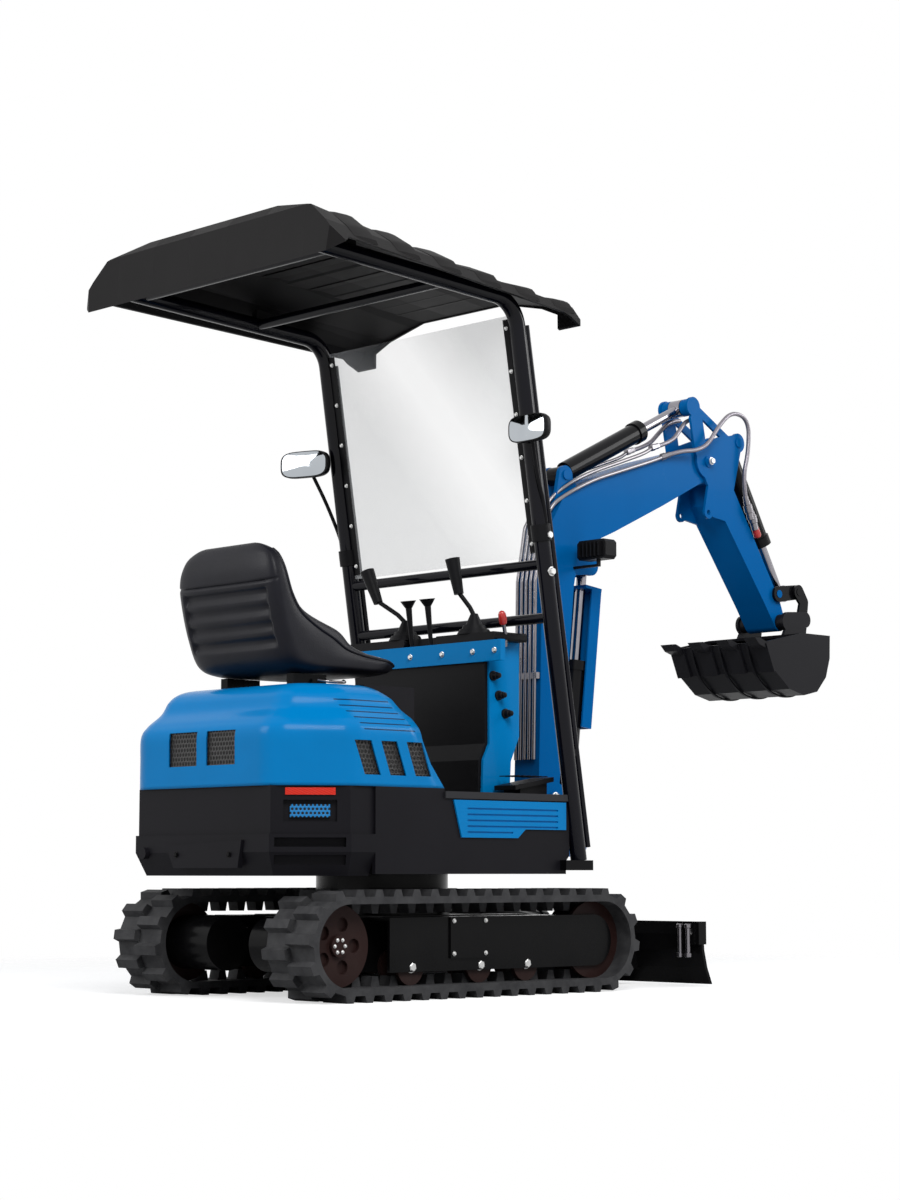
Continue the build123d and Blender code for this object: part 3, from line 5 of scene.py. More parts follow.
import bmesh
import bpy
import numpy as np
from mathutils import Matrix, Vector


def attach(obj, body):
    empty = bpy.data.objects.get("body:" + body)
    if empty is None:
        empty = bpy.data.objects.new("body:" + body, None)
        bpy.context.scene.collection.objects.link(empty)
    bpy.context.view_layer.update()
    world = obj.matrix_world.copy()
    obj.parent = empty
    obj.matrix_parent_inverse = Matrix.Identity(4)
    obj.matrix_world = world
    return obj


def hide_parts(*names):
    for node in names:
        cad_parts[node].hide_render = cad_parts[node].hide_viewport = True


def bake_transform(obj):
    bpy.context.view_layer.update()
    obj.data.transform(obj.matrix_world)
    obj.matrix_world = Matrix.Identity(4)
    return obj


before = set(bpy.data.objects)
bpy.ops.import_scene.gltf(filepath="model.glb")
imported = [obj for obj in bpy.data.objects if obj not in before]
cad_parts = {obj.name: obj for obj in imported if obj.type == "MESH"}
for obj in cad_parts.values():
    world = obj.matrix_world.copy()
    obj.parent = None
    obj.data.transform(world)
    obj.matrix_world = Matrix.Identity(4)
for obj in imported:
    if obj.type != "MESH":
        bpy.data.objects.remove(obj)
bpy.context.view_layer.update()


# The stage: a white seamless floor under soft studio light, seen from low at the right rear corner.
# The floor thins out into the white room behind it, and only the shade under the machine is left.
class Link:
    """One output of a shader node. Sums and products of links and numbers become Math nodes."""

    def __init__(self, tree, out):
        self.tree = tree
        self.out = out

    def node(self, kind, settings=None, sockets=None, out=0):
        """Any node: its type, its settings, and its sockets by name or place, as values or links."""
        made = self.tree.nodes.new("ShaderNode" + kind)
        for key, value in (settings or {}).items():
            setattr(made, key, value)
        for key, value in (sockets or {}).items():
            if isinstance(value, Link):
                self.tree.links.new(value.out, made.inputs[key])
            else:
                made.inputs[key].default_value = value
        return Link(self.tree, made.outputs[out])

    def math(self, operation, first, second=0.0):
        return self.node("Math", {"operation": operation}, {0: first, 1: second})

    def __add__(self, other):
        return self.math("ADD", self, other)

    def __radd__(self, other):
        return self.math("ADD", other, self)

    def __sub__(self, other):
        return self.math("SUBTRACT", self, other)

    def __rsub__(self, other):
        return self.math("SUBTRACT", other, self)

    def __mul__(self, other):
        return self.math("MULTIPLY", self, other)

    def over(self, other):
        return self.math("GREATER_THAN", self, other)

    def within(self, low, high):
        """1 between two values and 0 outside them."""
        return self.over(low) * (1 - self.over(high))

    def fraction(self):
        return self.math("FRACT", self)

    def size(self):
        return self.math("ABSOLUTE", self)

    def clamp(self):
        return self.node("Clamp", None, {0: self})

    def ramp(self, low, high):
        """0 at the low value and 1 at the high one, straight between them."""
        return self.node("MapRange", None, {0: self, 1: low, 2: high})

    def mix(self, first, second):
        """A colour that goes from first to second as this link goes from 0 to 1."""
        return self.node("Mix", {"data_type": "RGBA"}, {0: self, 6: first, 7: second}, out=2)

    def noise(self, scale, detail=2.0, rough=0.5):
        sockets = {"Vector": self, "Scale": scale, "Detail": detail, "Roughness": rough}
        return self.node("TexNoise", None, sockets)

    def pebbles(self, scale):
        """Round cells side by side: the distance from each cell's middle, smoothed at its edge."""
        return self.node("TexVoronoi", {"feature": "SMOOTH_F1"}, {"Vector": self, "Scale": scale})

    def part(self, axis):
        """One of the three numbers of a vector: 0, 1 or 2."""
        return self.node("SeparateXYZ", None, {0: self}, out=axis)

    def bump(self, height, strength=0.3):
        return self.node("Bump", None, {"Height": self, "Strength": strength, "Distance": height})


def colour(red, green, blue):
    return (red, green, blue, 1.0)


def shade(paint, by):
    return colour(*[min(1.0, by * part) for part in paint[:3]])


class Finish:
    """A node material: its shader's sockets are set by name, and its place on the piece is a link."""

    def __init__(self, name, **fixed):
        self.material = bpy.data.materials.new(name)
        self.material.use_nodes = True
        self.tree = self.material.node_tree
        self.shader = self.tree.nodes["Principled BSDF"]
        self.set(**fixed)
        place = self.tree.nodes.new("ShaderNodeTexCoord")
        self.place = Link(self.tree, place.outputs["Object"])

    def set(self, **sockets):
        """Values or links for the shader's sockets, with an underscore for a space."""
        for key, value in sockets.items():
            socket = self.shader.inputs[key.replace("_", " ")]
            if isinstance(value, Link):
                self.tree.links.new(value.out, socket)
            else:
                socket.default_value = value

    def wear(self, *nodes):
        """Give this finish to CAD nodes, whose meshes stay as they are."""
        for node in nodes:
            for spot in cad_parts[node].material_slots:
                spot.material = self.material
        return self


EYE = (-5.904725, -5.729, 0.359)
YAW = 45.86
PITCH = 6.73
FOCAL_PX = 2547.5
TALL_PX = 1200
AXIS_RISE_PX = 28
FILM = 36.0

view = bpy.data.cameras.new("view")
view.sensor_fit = "VERTICAL"
view.sensor_height = FILM
view.lens = FOCAL_PX / TALL_PX * FILM
view.shift_y = -AXIS_RISE_PX / TALL_PX
view_object = bpy.data.objects.new("view", view)
view_object.location = EYE
view_object.rotation_euler = (radians(90 + PITCH), 0, radians(YAW - 90))
bpy.context.collection.objects.link(view_object)
bpy.context.scene.camera = view_object
bpy.context.scene.view_settings.view_transform = "Standard"

FLOOR_R = 9.0
FLOOR_CLEAR = (1.8, 3.6)
floor_mesh = bpy.data.meshes.new("floor")
around = np.linspace(0, 2 * pi, 97)[:-1]
rim = np.c_[FLOOR_R * np.cos(around), FLOOR_R * np.sin(around), 0 * around]
floor_mesh.from_pydata(rim.tolist(), [], [list(range(len(around)))])
floor = bpy.data.objects.new("floor", floor_mesh)
bpy.context.collection.objects.link(floor)
floor_finish = Finish("studio_floor", Roughness=0.9, Specular_IOR_Level=0.1, Emission_Strength=0.6)
floor_ray = floor_finish.place.node("LightPath")
floor_finish.set(Emission_Color=floor_ray.mix(colour(0, 0, 0), colour(1, 1, 1)))
floor_grain = floor_finish.place.noise(3.0)
floor_finish.set(Base_Color=floor_grain.mix(colour(0.56, 0.56, 0.56), colour(0.60, 0.60, 0.60)))
reach = floor_finish.place.node("VectorMath", {"operation": "LENGTH"}, {0: floor_finish.place}, out=1)
floor_finish.set(Alpha=1 - reach.ramp(*FLOOR_CLEAR))
floor_mesh.materials.append(floor_finish.material)

ROOM_LIGHT = colour(0.24, 0.25, 0.27)
world = bpy.data.worlds.new("studio")
world.use_nodes = True
bpy.context.scene.world = world
sky = world.node_tree
backdrop = sky.nodes["Background"]
ray = sky.nodes.new("ShaderNodeLightPath")
seen = Link(sky, ray.outputs["Is Camera Ray"]) + Link(sky, ray.outputs["Is Transmission Ray"])
seen = seen + Link(sky, ray.outputs["Is Glossy Ray"])
sky.links.new(seen.clamp().mix(ROOM_LIGHT, colour(1, 1, 1)).out, backdrop.inputs["Color"])
backdrop.inputs["Strength"].default_value = 1.0

SOFT_BOXES = {
    "key_box": ((-3.2, -4.6, 5.2), 3.2, 330),
    "side_box": ((-5.6, 2.4, 3.4), 2.6, 120),
    "front_box": ((4.2, -3.0, 3.6), 2.6, 120),
}
for name, (place, size, power) in SOFT_BOXES.items():
    lamp = bpy.data.lights.new(name, "AREA")
    lamp.shape = "SQUARE"
    lamp.size = size
    lamp.energy = power
    holder = bpy.data.objects.new(name, lamp)
    holder.location = place
    aim = Vector((0, 0, 1.0)) - Vector(place)
    holder.rotation_euler = aim.to_track_quat("-Z", "Y").to_euler()
    bpy.context.collection.objects.link(holder)


# The hoses at the elbow of the arm: braided steel over rubber, screwed into fittings on the boom.
# One rises in a loop over the elbow and drops to couplings on the dipper's side; two shorter ones run
# on from the boom's pipes, under the cylinder's rod.
AXIS_X = -0.632725


def at(points):
    """Millimetres from the slew axis to metres from the part's origin."""
    return np.asarray(points, float) / 1000 + (AXIS_X, 0, 0)


def put(name, grids, finish, body, crease=35):
    """A closed piece from grids of rings. Each grid gets a ring drawn to a point at both ends, and
    four-sided faces between each ring and the next; the ends' doubles are then merged."""
    points, faces, count = [], [], 0
    for grid in grids:
        rows, ring = grid.shape[:2]
        ends = [np.repeat(grid[i].mean(0)[None], ring, 0)[None] for i in (0, -1)]
        points.append(np.concatenate([ends[0], grid, ends[1]]).reshape(-1, 3))
        row, turn = np.meshgrid(np.arange(rows + 1), np.arange(ring), indexing="ij")
        here = row * ring + turn
        beside = row * ring + (turn + 1) % ring
        faces.append(np.stack([here, beside, beside + ring, here + ring], -1).reshape(-1, 4) + count)
        count += (rows + 2) * ring
    mesh = bpy.data.meshes.new(name)
    mesh.from_pydata(np.concatenate(points).tolist(), [], np.concatenate(faces).tolist())
    shell = bmesh.new()
    shell.from_mesh(mesh)
    bmesh.ops.remove_doubles(shell, verts=shell.verts, dist=1e-6)
    bmesh.ops.dissolve_degenerate(shell, edges=shell.edges, dist=1e-7)
    bmesh.ops.recalc_face_normals(shell, faces=shell.faces)
    shell.to_mesh(mesh)
    shell.free()
    mesh.shade_smooth()
    mesh.set_sharp_from_angle(angle=radians(crease))
    mesh.materials.append(finish.material)
    piece = bpy.data.objects.new(name, mesh)
    bpy.context.collection.objects.link(piece)
    if body:
        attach(piece, body)
    return piece


def tube(path, radius, across=(0, 1, 0), turns=12):
    """Circles of one radius round a path in metres. Each stands square to the path's own direction,
    and its first radius is square to the across line as well."""
    way = np.gradient(path, axis=0)
    way /= np.linalg.norm(way, axis=1, keepdims=True)
    side = np.cross(way, across)
    side /= np.linalg.norm(side, axis=1, keepdims=True)
    third = np.cross(way, side)
    angle = np.linspace(0, 2 * pi, turns, endpoint=False)[:, None]
    rings = np.cos(angle) * side[:, None] + np.sin(angle) * third[:, None]
    return path[:, None] + radius * rings


def lathe(profile, feet, axis, turns=24):
    """Rings turned round an axis: a circle at each (height, radius) of the profile, for every foot."""
    axis = np.asarray(axis, float) / np.linalg.norm(axis)
    side = np.cross(axis, (0.3, 0.5, 0.8))
    side /= np.linalg.norm(side)
    angle = np.linspace(0, 2 * pi, turns, endpoint=False)[:, None]
    ring = np.cos(angle) * side + np.sin(angle) * np.cross(axis, side)
    height, radius = np.asarray(profile, float).T[:, :, None, None]
    return at(np.asarray(feet, float).reshape(-1, 1, 1, 3) + height * axis + radius * ring)


def hose_line(route):
    """The points of the smooth line that has the route's points, in metres, as its control points."""
    line = bpy.data.curves.new("route", "CURVE")
    line.dimensions = "3D"
    spline = line.splines.new("NURBS")
    spline.points.add(len(route) - 1)
    spline.points.foreach_set("co", np.c_[route, np.ones(len(route))].ravel())
    spline.order_u = 3
    spline.use_endpoint_u = True
    spline.resolution_u = 16
    holder = bpy.data.objects.new("route", line)
    mesh = bpy.data.meshes.new_from_object(holder)
    points = np.empty(3 * len(mesh.vertices))
    mesh.vertices.foreach_get("co", points)
    bpy.data.objects.remove(holder)
    bpy.data.curves.remove(line)
    bpy.data.meshes.remove(mesh)
    return points.reshape(-1, 3)


braid = Finish("steel_braid", Metallic=0.85)
strand = braid.place.node("TexVoronoi", None, {"Vector": braid.place, "Scale": 420.0})
braid.set(Base_Color=strand.mix(colour(0.30, 0.28, 0.31), colour(0.16, 0.15, 0.17)))
braid.set(Roughness=0.30 + strand * 0.2)
braid.set(Normal=strand.bump(0.0006, 0.5))

bright_steel = Finish("bright_steel", Metallic=1.0)
drawn = bright_steel.place.noise(9.0, 2.0)
bright_steel.set(Base_Color=drawn.mix(colour(0.20, 0.19, 0.205), colour(0.28, 0.27, 0.285)))
bright_steel.set(Roughness=0.24 + drawn * 0.08)
bright_steel.wear("boom_pipes")

HOSE_D = 15
HOSE_ROUTES = {
    "elbow_hose": [(1252, -65, 1775), (1310, -80, 1796), (1388, -90, 1806), (1446, -94, 1836),
                   (1492, -98, 1900), (1570, -98, 1966), (1664, -96, 1948), (1666, -92, 1836),
                   (1640, -86, 1740), (1662, -80, 1668)],
    "head_hose_right": [(1210, -50, 1802), (1300, -50, 1828), (1352, -46, 1880), (1398, -40, 1924),
                        (1452, -40, 1930)],
    "head_hose_left": [(1196, 50, 1798), (1290, 50, 1826), (1346, 46, 1880), (1396, 40, 1926),
                       (1450, 40, 1934)],
}
for name, route in HOSE_ROUTES.items():
    path = hose_line(at(route))
    hose = put(name, [tube(path, HOSE_D / 2000, turns=14)], braid, None)
    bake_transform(hose)

NIPPLE = [(-16, 9), (-14, 12), (4, 12), (6, 10), (26, 10), (28, 8)]
HEX = 6
NIPPLE_AT = (1246, -64, 1773)
NIPPLE_WAY = (0.92, -0.2, 0.34)
put("boom_nipple", lathe(NIPPLE, [NIPPLE_AT], NIPPLE_WAY, HEX), bright_steel, "boom_arm")
HEAD_NIPPLES_AT = [(1206, -50, 1801), (1192, 50, 1797)]
HEAD_NIPPLE_WAY = (0.95, 0, 0.3)
put("head_nipples", lathe(NIPPLE, HEAD_NIPPLES_AT, HEAD_NIPPLE_WAY, HEX), bright_steel,
    "boom_arm")
COUPLER = [(-72, 8), (-70, 13), (-46, 13), (-44, 16), (-18, 16), (-16, 12), (-4, 12), (-2, 10),
           (14, 10), (16, 8)]
COUPLERS_AT = [(1664, -80, 1662), (1690, -78, 1628)]
COUPLER_WAY = (-0.35, 0, 0.94)
put("couplers", lathe(COUPLER, COUPLERS_AT, COUPLER_WAY, 2 * HEX), bright_steel, "dipper_arm")


# The undercarriage: welded steel plates and castings in gloss black paint, dulled low down by dust.
# Zinc-plated hexagon bolts with washers hold the rollers and the cover plates on both sides.
def painted(name, paint, gloss, coat, dust, dust_top, peel=0.0004, **fixed):
    """Sprayed enamel: fine ripples in the coat, a little unevenness, and dust that fades upward."""
    finish = Finish(name, Coat_Roughness=0.05, Specular_IOR_Level=0.07, **fixed)
    patch = finish.place.noise(7.0, 4.0)
    dusty = (1 - finish.place.part(2).ramp(0.0, dust_top)) * patch.ramp(0.35, 0.75) * dust
    finish.set(Base_Color=dusty.clamp().mix(patch.mix(shade(paint, 0.93), shade(paint, 1.07)), DUST))
    finish.set(Roughness=gloss + dusty * 0.4 + patch * 0.05)
    finish.set(Coat_Weight=(coat - dusty).clamp())
    finish.set(Normal=finish.place.noise(160.0, 1.0).bump(peel, 0.12))
    return finish


WASHER = np.array([(0, 1.1), (0.18, 1.1), (0.2, 1.04)])
BOLT_HEAD = np.array([(0.2, 0.9), (0.72, 0.9), (0.86, 0.72)])


def hex_bolts(name, feet, axis, size, body, finish=None):
    """A washer and a six-sided head with a domed edge at every foot, along one axis. Both are given as
    shares of the bolt's size."""
    washer = lathe(size * WASHER, feet, axis, 20)
    head = lathe(size * BOLT_HEAD, feet, axis, HEX)
    return put(name, [*washer, *head], finish or zinc, body, 20)


DUST = colour(0.16, 0.15, 0.14)
zinc = Finish("zinc_plate", Metallic=0.9)
bloom = zinc.place.noise(120.0, 3.0)
zinc.set(Base_Color=bloom.mix(colour(0.56, 0.56, 0.55), colour(0.74, 0.74, 0.73)))
zinc.set(Roughness=0.26 + bloom * 0.16)
gloss_black = painted("gloss_black", colour(0.003, 0.003, 0.0034), 0.20, 0.04, 0.03, 0.4)
gloss_black.wear("chassis", "track_frames", "travel_motors", "blade", "slew_deck", "seat_rails")
painted("dark_casting", colour(0.022, 0.009, 0.008), 0.40, 0.04, 0.10, 0.5).wear(
    "sprockets", "idlers", "rollers", "engine")

SIDES = ((-1, "right"), (1, "left"))
ROLLER_X = (-240, 35, 230)
ROLLER_Z = 91
ROLLER_FACE_Y = 382
COVER_BOLTS = [(-82, 220), (-82, 126), (47, 220), (47, 126)]
COVER_FACE_Y = 398
HUB = (-520, 156)
HUB_FACE_Y = 394
HUB_RING_R = 19
for side, tag in SIDES:
    out = (0, side, 0)
    rollers = [(x, side * ROLLER_FACE_Y, ROLLER_Z) for x in ROLLER_X]
    hex_bolts("roller_bolts_" + tag, rollers, out, 15, "undercarriage")
    covers = [(x, side * COVER_FACE_Y, z) for x, z in COVER_BOLTS]
    hex_bolts("cover_bolts_" + tag, covers, out, 6, "undercarriage")
    turn = np.linspace(0, 2 * pi, 6, endpoint=False)
    hub_x, hub_z = HUB[0] + HUB_RING_R * np.cos(turn), HUB[1] + HUB_RING_R * np.sin(turn)
    hex_bolts("hub_bolts_" + tag, np.c_[hub_x, 0 * turn + side * HUB_FACE_Y, hub_z], out, 5, "undercarriage")

PIN_SHANK = [(0, 9), (2, 12), (14, 12), (16, 8), (92, 8), (94, 12), (104, 12), (106, 9)]
PINS_AT = [(945, -405, 92), (945, -372, 92)]
put("blade_pins", lathe(PIN_SHANK, PINS_AT, (0, 0, 1)), bright_steel, "blade_arm")


# The tracks: endless rubber belts with lugs, in dull black rubber.
# Grey scuffs cloud the surface, and it has a fine grain.
track_rubber = Finish("track_rubber", Specular_IOR_Level=0.25)
scuff = track_rubber.place.noise(22.0, 5.0, 0.6)
rubbed = scuff.ramp(0.35, 0.7)
track_rubber.set(Base_Color=rubbed.mix(colour(0.022, 0.022, 0.024), colour(0.050, 0.050, 0.052)))
track_rubber.set(Roughness=0.58 + scuff * 0.2)
track_rubber.set(Normal=track_rubber.place.noise(240.0, 3.0).bump(0.0008, 0.3))
track_rubber.wear("track_left", "track_right")


# The cylinders: honed steel tubes in gloss black paint, with hard chromed rods.
# Rocker plates and link plates at the bucket are black forgings.
painted("cylinder_black", colour(0.005, 0.005, 0.006), 0.18, 0.12, 0.05, 0.3).wear(
    "blade_ram_barrel", "boom_ram_barrel", "dipper_ram_barrel", "bucket_ram_barrel", "rocker", "bucket_link")
chrome = Finish("hard_chrome", Metallic=1.0)
polish = chrome.place.noise(35.0, 3.0)
chrome.set(Base_Color=polish.mix(colour(0.25, 0.24, 0.265), colour(0.33, 0.32, 0.345)))
chrome.set(Roughness=0.09 + polish * 0.08)
chrome.wear("blade_ram_rod", "boom_ram_rod", "dipper_ram_rod", "bucket_ram_rod")


# The lower body: black plastic mouldings with a fine pebbled grain round the rear and the sides.
# A red lens, a pressed vent plate and dark slots sit on each slanted corner; two bolts hold the rear plate.
FOLDS_PER_M = 2.9
FOLD_START = 0.31


def moulded(name, tone, rough, grain=650.0, depth=0.0006, folds=0.0):
    """Grained plastic: a cell pattern pressed into the mould, a cloudy tone over it, and with
    folds the shallow upright creases that stiffen a wide sheet."""
    finish = Finish(name, Specular_IOR_Level=0.08)
    cloud = finish.place.noise(5.0, 3.0)
    finish.set(Base_Color=cloud.mix(shade(tone, 0.85), shade(tone, 1.2)))
    finish.set(Roughness=rough + cloud * 0.12)
    grained = finish.place.pebbles(grain).bump(depth, 0.35)
    if folds:
        crease = (finish.place.part(1) * FOLDS_PER_M + FOLD_START).fraction() - 0.5
        sockets = {"Height": crease.size(), "Strength": 1.0, "Distance": folds, "Normal": grained}
        grained = finish.place.node("Bump", None, sockets)
    finish.set(Normal=grained)
    return finish


def perforated(name, tone, hole, pitch, along, gloss):
    """Punched sheet: round holes in staggered rows. A point's place in its own cell of the grid gives
    its distance from the hole's middle; along is the share of x and of y that runs with the sheet."""
    finish = Finish(name)
    run = finish.place.part(0) * along[0] + finish.place.part(1).size() * along[1]
    up = finish.place.part(2) * (1 / pitch)
    row = finish.place.math("FLOOR", up)
    across = (run * (1 / pitch) + row * 0.5).fraction() - 0.5
    height = up.fraction() - 0.5
    away = finish.place.math("SQRT", across * across + height * height)
    sheet = away.ramp(hole - 0.06, hole + 0.06)
    # The holes are painted near black: painted shade for the dark space behind them.
    finish.set(Base_Color=sheet.mix(colour(0.002, 0.002, 0.002), tone))
    finish.set(Roughness=0.9 - sheet * (0.9 - gloss))
    finish.set(Normal=sheet.bump(0.002, 0.6))
    return finish


moulded("body_moulding", colour(0.0080, 0.0076, 0.0098), 0.36).wear("counterweight", "skirts", "seat_box")
BODY_BLUE = colour(0.0004, 0.205, 0.530)
perforated("vent_blue", BODY_BLUE, 0.33, 0.0115, (0.8, 0.6), 0.35).wear("corner_vents")
perforated("grille_black", colour(0.016, 0.015, 0.015), 0.40, 0.0130, (1.0, 1.0), 0.45).wear("hood_grilles")
red_lens = Finish("red_lens", Roughness=0.15, Specular_IOR_Level=0.15)
facet = (red_lens.place.part(2) * 160.0 + red_lens.place.part(0) * 90.0).fraction()
red_lens.set(Base_Color=facet.mix(colour(0.60, 0.018, 0.010), colour(0.82, 0.045, 0.024)))
red_lens.set(Normal=facet.bump(0.001, 0.4))
red_lens.wear("reflectors")
PLATE_BOLTS_AT = [(-711, 98, 410), (-711, -140, 410)]
hex_bolts("rear_plate_bolts", PLATE_BOLTS_AT, (-1, 0, 0), 8, "house", gloss_black)


# The hood, console and arms: pressed and welded steel in a two-coat gloss blue.
# Rows of thin pressed slots run along both shoulders of the hood, painted a darker blue inside as painted
# shade.
painted("body_blue", BODY_BLUE, 0.22, 0.05, 0.0, 1.0).wear("engine_hood", "console", "skirt_inserts")
arm_blue = painted("arm_blue", colour(0.0003, 0.118, 0.375), 0.24, 0.01, 0.0, 1.0)
arm_blue.set(Specular_IOR_Level=0.02)
arm_blue.wear("swing_bracket", "boom", "boom_ram_guard", "dipper")


def bar(start, end, wide, high):
    """A flat bar between two points: a rectangle with nipped corners carried from end to end, its width
    along one direction and its height along another, both given as vectors in millimetres."""
    corner = np.array([(-1, -0.6), (-0.8, -1), (0.8, -1), (1, -0.6),
                       (1, 0.6), (0.8, 1), (-0.8, 1), (-1, 0.6)])
    ring = corner[:, :1] * np.asarray(wide, float) / 2 + corner[:, 1:] * np.asarray(high, float) / 2
    return at(np.asarray([start, end], float)[:, None] + ring)


HOOD_RISE = [(600, 0), (680, 0), (752, 1), (786, 20), (822, 58), (858, 78), (880, 102), (893, 140),
             (897, 200), (897, 270), (897, 334)]
SIDE_CUT = [(599, -161), (668, -216), (735, -250), (800, -264), (852, -300), (899, -366)]
HOOD_HALF = 440
HOOD_REAR = -703
HOOD_CORNER = (-520, 302)
CORNER_DRAW = 0.42
LEAST_HALF = 20
PLAN_KNOTS = np.array([0, 0.20, 0.33, 0.67, 0.80, 1])


def through(points, count):
    """A smooth path through points: between two of them, the cubic that leans along their neighbours."""
    points = np.asarray(points, float)
    ends = np.vstack([2 * points[0] - points[1], points, 2 * points[-1] - points[-2]])
    place = np.linspace(0, len(points) - 1, count)
    leg = np.minimum(place.astype(int), len(points) - 2)
    t = (place - leg)[:, None]
    a, b, c, d = (ends[leg + i] for i in range(4))
    return 0.5 * (2 * b + (c - a) * t + (2 * a - 5 * b + 4 * c - d) * t**2 + (3 * b - a - 3 * c + d) * t**3)


def hood_skin(rows, columns, ease):
    """The hood as a bowed sheet. Each row is a U in plan at its own height: two sides, two slanted corners
    and the rear, all drawn in by that height's inset. The mean of each point and its neighbours rounds
    the corners."""
    height, inset = through(HOOD_RISE, rows).T
    front = np.interp(height, *np.array(SIDE_CUT).T)
    half, rear = HOOD_HALF - inset, HOOD_REAR + inset
    corner_x = np.minimum(HOOD_CORNER[0] + CORNER_DRAW * inset, front - 1)
    corner_y = np.maximum(HOOD_CORNER[1] - CORNER_DRAW * inset, LEAST_HALF)
    plan_x = np.stack([front, corner_x, rear, rear, corner_x, front], -1)
    plan_y = np.stack([-half, -half, -np.minimum(corner_y, half), np.minimum(corner_y, half), half, half], -1)
    run = np.linspace(0, 1, columns + 2 * ease)
    leg = np.clip(np.searchsorted(PLAN_KNOTS, run, "right") - 1, 0, len(PLAN_KNOTS) - 2)
    share = (run - PLAN_KNOTS[leg]) / (PLAN_KNOTS[leg + 1] - PLAN_KNOTS[leg])
    x = plan_x[:, leg] * (1 - share) + plan_x[:, leg + 1] * share
    y = plan_y[:, leg] * (1 - share) + plan_y[:, leg + 1] * share
    near = range(2 * ease + 1)
    x, y = [sum(flat[:, k:k + columns] for k in near) / (2 * ease + 1) for flat in (x, y)]
    x[:, 0] = x[:, -1] = front
    return at(np.stack([x, y, np.repeat(height[:, None], columns, 1)], -1))


REAR_VENT_Y = (0.022, 0.150)
REAR_VENT_Z = (0.662, 0.760)
REAR_VENT_X = -0.69
SIDE_VENT_Z = (0.632, 0.728)
SIDE_VENT_FROM = -0.471
SIDE_VENT_RUN = 0.294
SIDE_VENT_PITCH = 0.098
SIDE_VENT_SHARE = 0.62
SIDE_VENT_LEAN = 0.385
SIDE_VENT_Y = 0.43
PRESSED_X = (-0.47, -0.275)
PRESSED_Z = (0.758, 0.856)
PRESSED_PITCH = 0.017
PRESSED_SHARE = 0.20
PRESSED_LEAN = 0.5
PRESSED_Y = 0.33

hood_blue = painted("hood_blue", BODY_BLUE, 0.20, 0.05, 0.0, 1.0)
ahead = hood_blue.place.part(0) - AXIS_X
aside = hood_blue.place.part(1).size()
above = hood_blue.place.part(2)
rear_vents = aside.within(*REAR_VENT_Y) * above.within(*REAR_VENT_Z) * (1 - ahead.over(REAR_VENT_X))
leaning = ahead + (above - SIDE_VENT_Z[0]) * SIDE_VENT_LEAN - SIDE_VENT_FROM
side_open = 1 - (leaning * (1 / SIDE_VENT_PITCH)).fraction().over(SIDE_VENT_SHARE)
side_vents = leaning.within(0, SIDE_VENT_RUN) * side_open * above.within(*SIDE_VENT_Z)
hood_blue.set(Alpha=1 - (rear_vents + side_vents * aside.over(SIDE_VENT_Y)).clamp())
# The pressed slots are painted a darker blue inside: painted shade in their recesses, on a smooth skin.
pressed = 1 - ((above - PRESSED_Z[0]) * (1 / PRESSED_PITCH)).fraction().over(PRESSED_SHARE)
slanting = ahead + (above - PRESSED_Z[0]) * PRESSED_LEAN
pressed = pressed * above.within(*PRESSED_Z) * aside.over(PRESSED_Y) * slanting.within(*PRESSED_X)
plain = hood_blue.shader.inputs["Base Color"].links[0].from_socket
hood_blue.set(Base_Color=pressed.mix(Link(hood_blue.tree, plain), colour(0.0005, 0.030, 0.085)))

HOOD_T = 0.004
HOOD_ROWS = 84
HOOD_COLUMNS = 280
HOOD_EASE = 8
skin = hood_skin(HOOD_ROWS, HOOD_COLUMNS, HOOD_EASE)
hood_mesh = bpy.data.meshes.new("hood_skin")
row, column = np.meshgrid(np.arange(HOOD_ROWS - 1), np.arange(HOOD_COLUMNS - 1), indexing="ij")
corner = row * HOOD_COLUMNS + column
below = corner + HOOD_COLUMNS
hood_faces = np.stack([corner, below, below + 1, corner + 1], -1).reshape(-1, 4)
hood_mesh.from_pydata(skin.reshape(-1, 3).tolist(), [], hood_faces.tolist())
hood_mesh.shade_smooth()
hood_mesh.materials.append(hood_blue.material)
hood = bpy.data.objects.new("hood_skin", hood_mesh)
bpy.context.collection.objects.link(hood)
wall = hood.modifiers.new("wall", "SOLIDIFY")
wall.thickness = HOOD_T
wall.offset = -1
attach(hood, "house")
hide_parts("engine_hood")


# The seat: one tub of foam under black vinyl, for pan and back, welted round its whole edge.
# Sewn channels cross the middle, the sides rise as bolsters, and the lower back panel is ribbed.
SEAT_UNDER = [(-140, 940), (-240, 932), (-380, 931), (-500, 932), (-566, 956), (-602, 1035), (-626, 1130),
              (-636, 1220), (-622, 1304)]
SEAT_TOP = [(-108, 972), (-166, 988), (-270, 994), (-390, 996), (-470, 1016), (-516, 1080), (-548, 1160),
            (-570, 1240), (-588, 1304)]
SEAT_HALF = 225
BOLSTER_RISE = 104
EDGE_RISE = 30
CHANNELS = (0.10, 0.19, 0.28, 0.37, 0.58, 0.67, 0.76, 0.85)
CHANNEL_DEPTH = 6
SEAM_DEPTH = 7
CROWN_RISE = 10
PANEL_FROM = 0.56
PANEL_RISE = 8
RIB_RISE = 4
RIB_PITCH = 0.062
YOKE_RISE = 5


def smooth(low, high, value):
    """0 below the low value, 1 above the high one, and an even S between them."""
    t = np.clip((value - low) / (high - low), 0, 1)
    return t * t * (3 - 2 * t)


def hump(value, middle, width):
    """1 at the middle, falling evenly on both sides and nearly 0 at two widths from it."""
    return np.exp(-((value - middle) / width) ** 2)


def pressed_out(wave, power):
    """A sine or cosine with its own sign and its size raised to a power, which squares a circle up."""
    return np.sign(wave) * np.abs(wave) ** power


def rod(points, count, radius, across=(0, 1, 0)):
    """A round bar along the smooth path through points in millimetres, its radius in metres."""
    return tube(at(through(points, count)), radius, across)


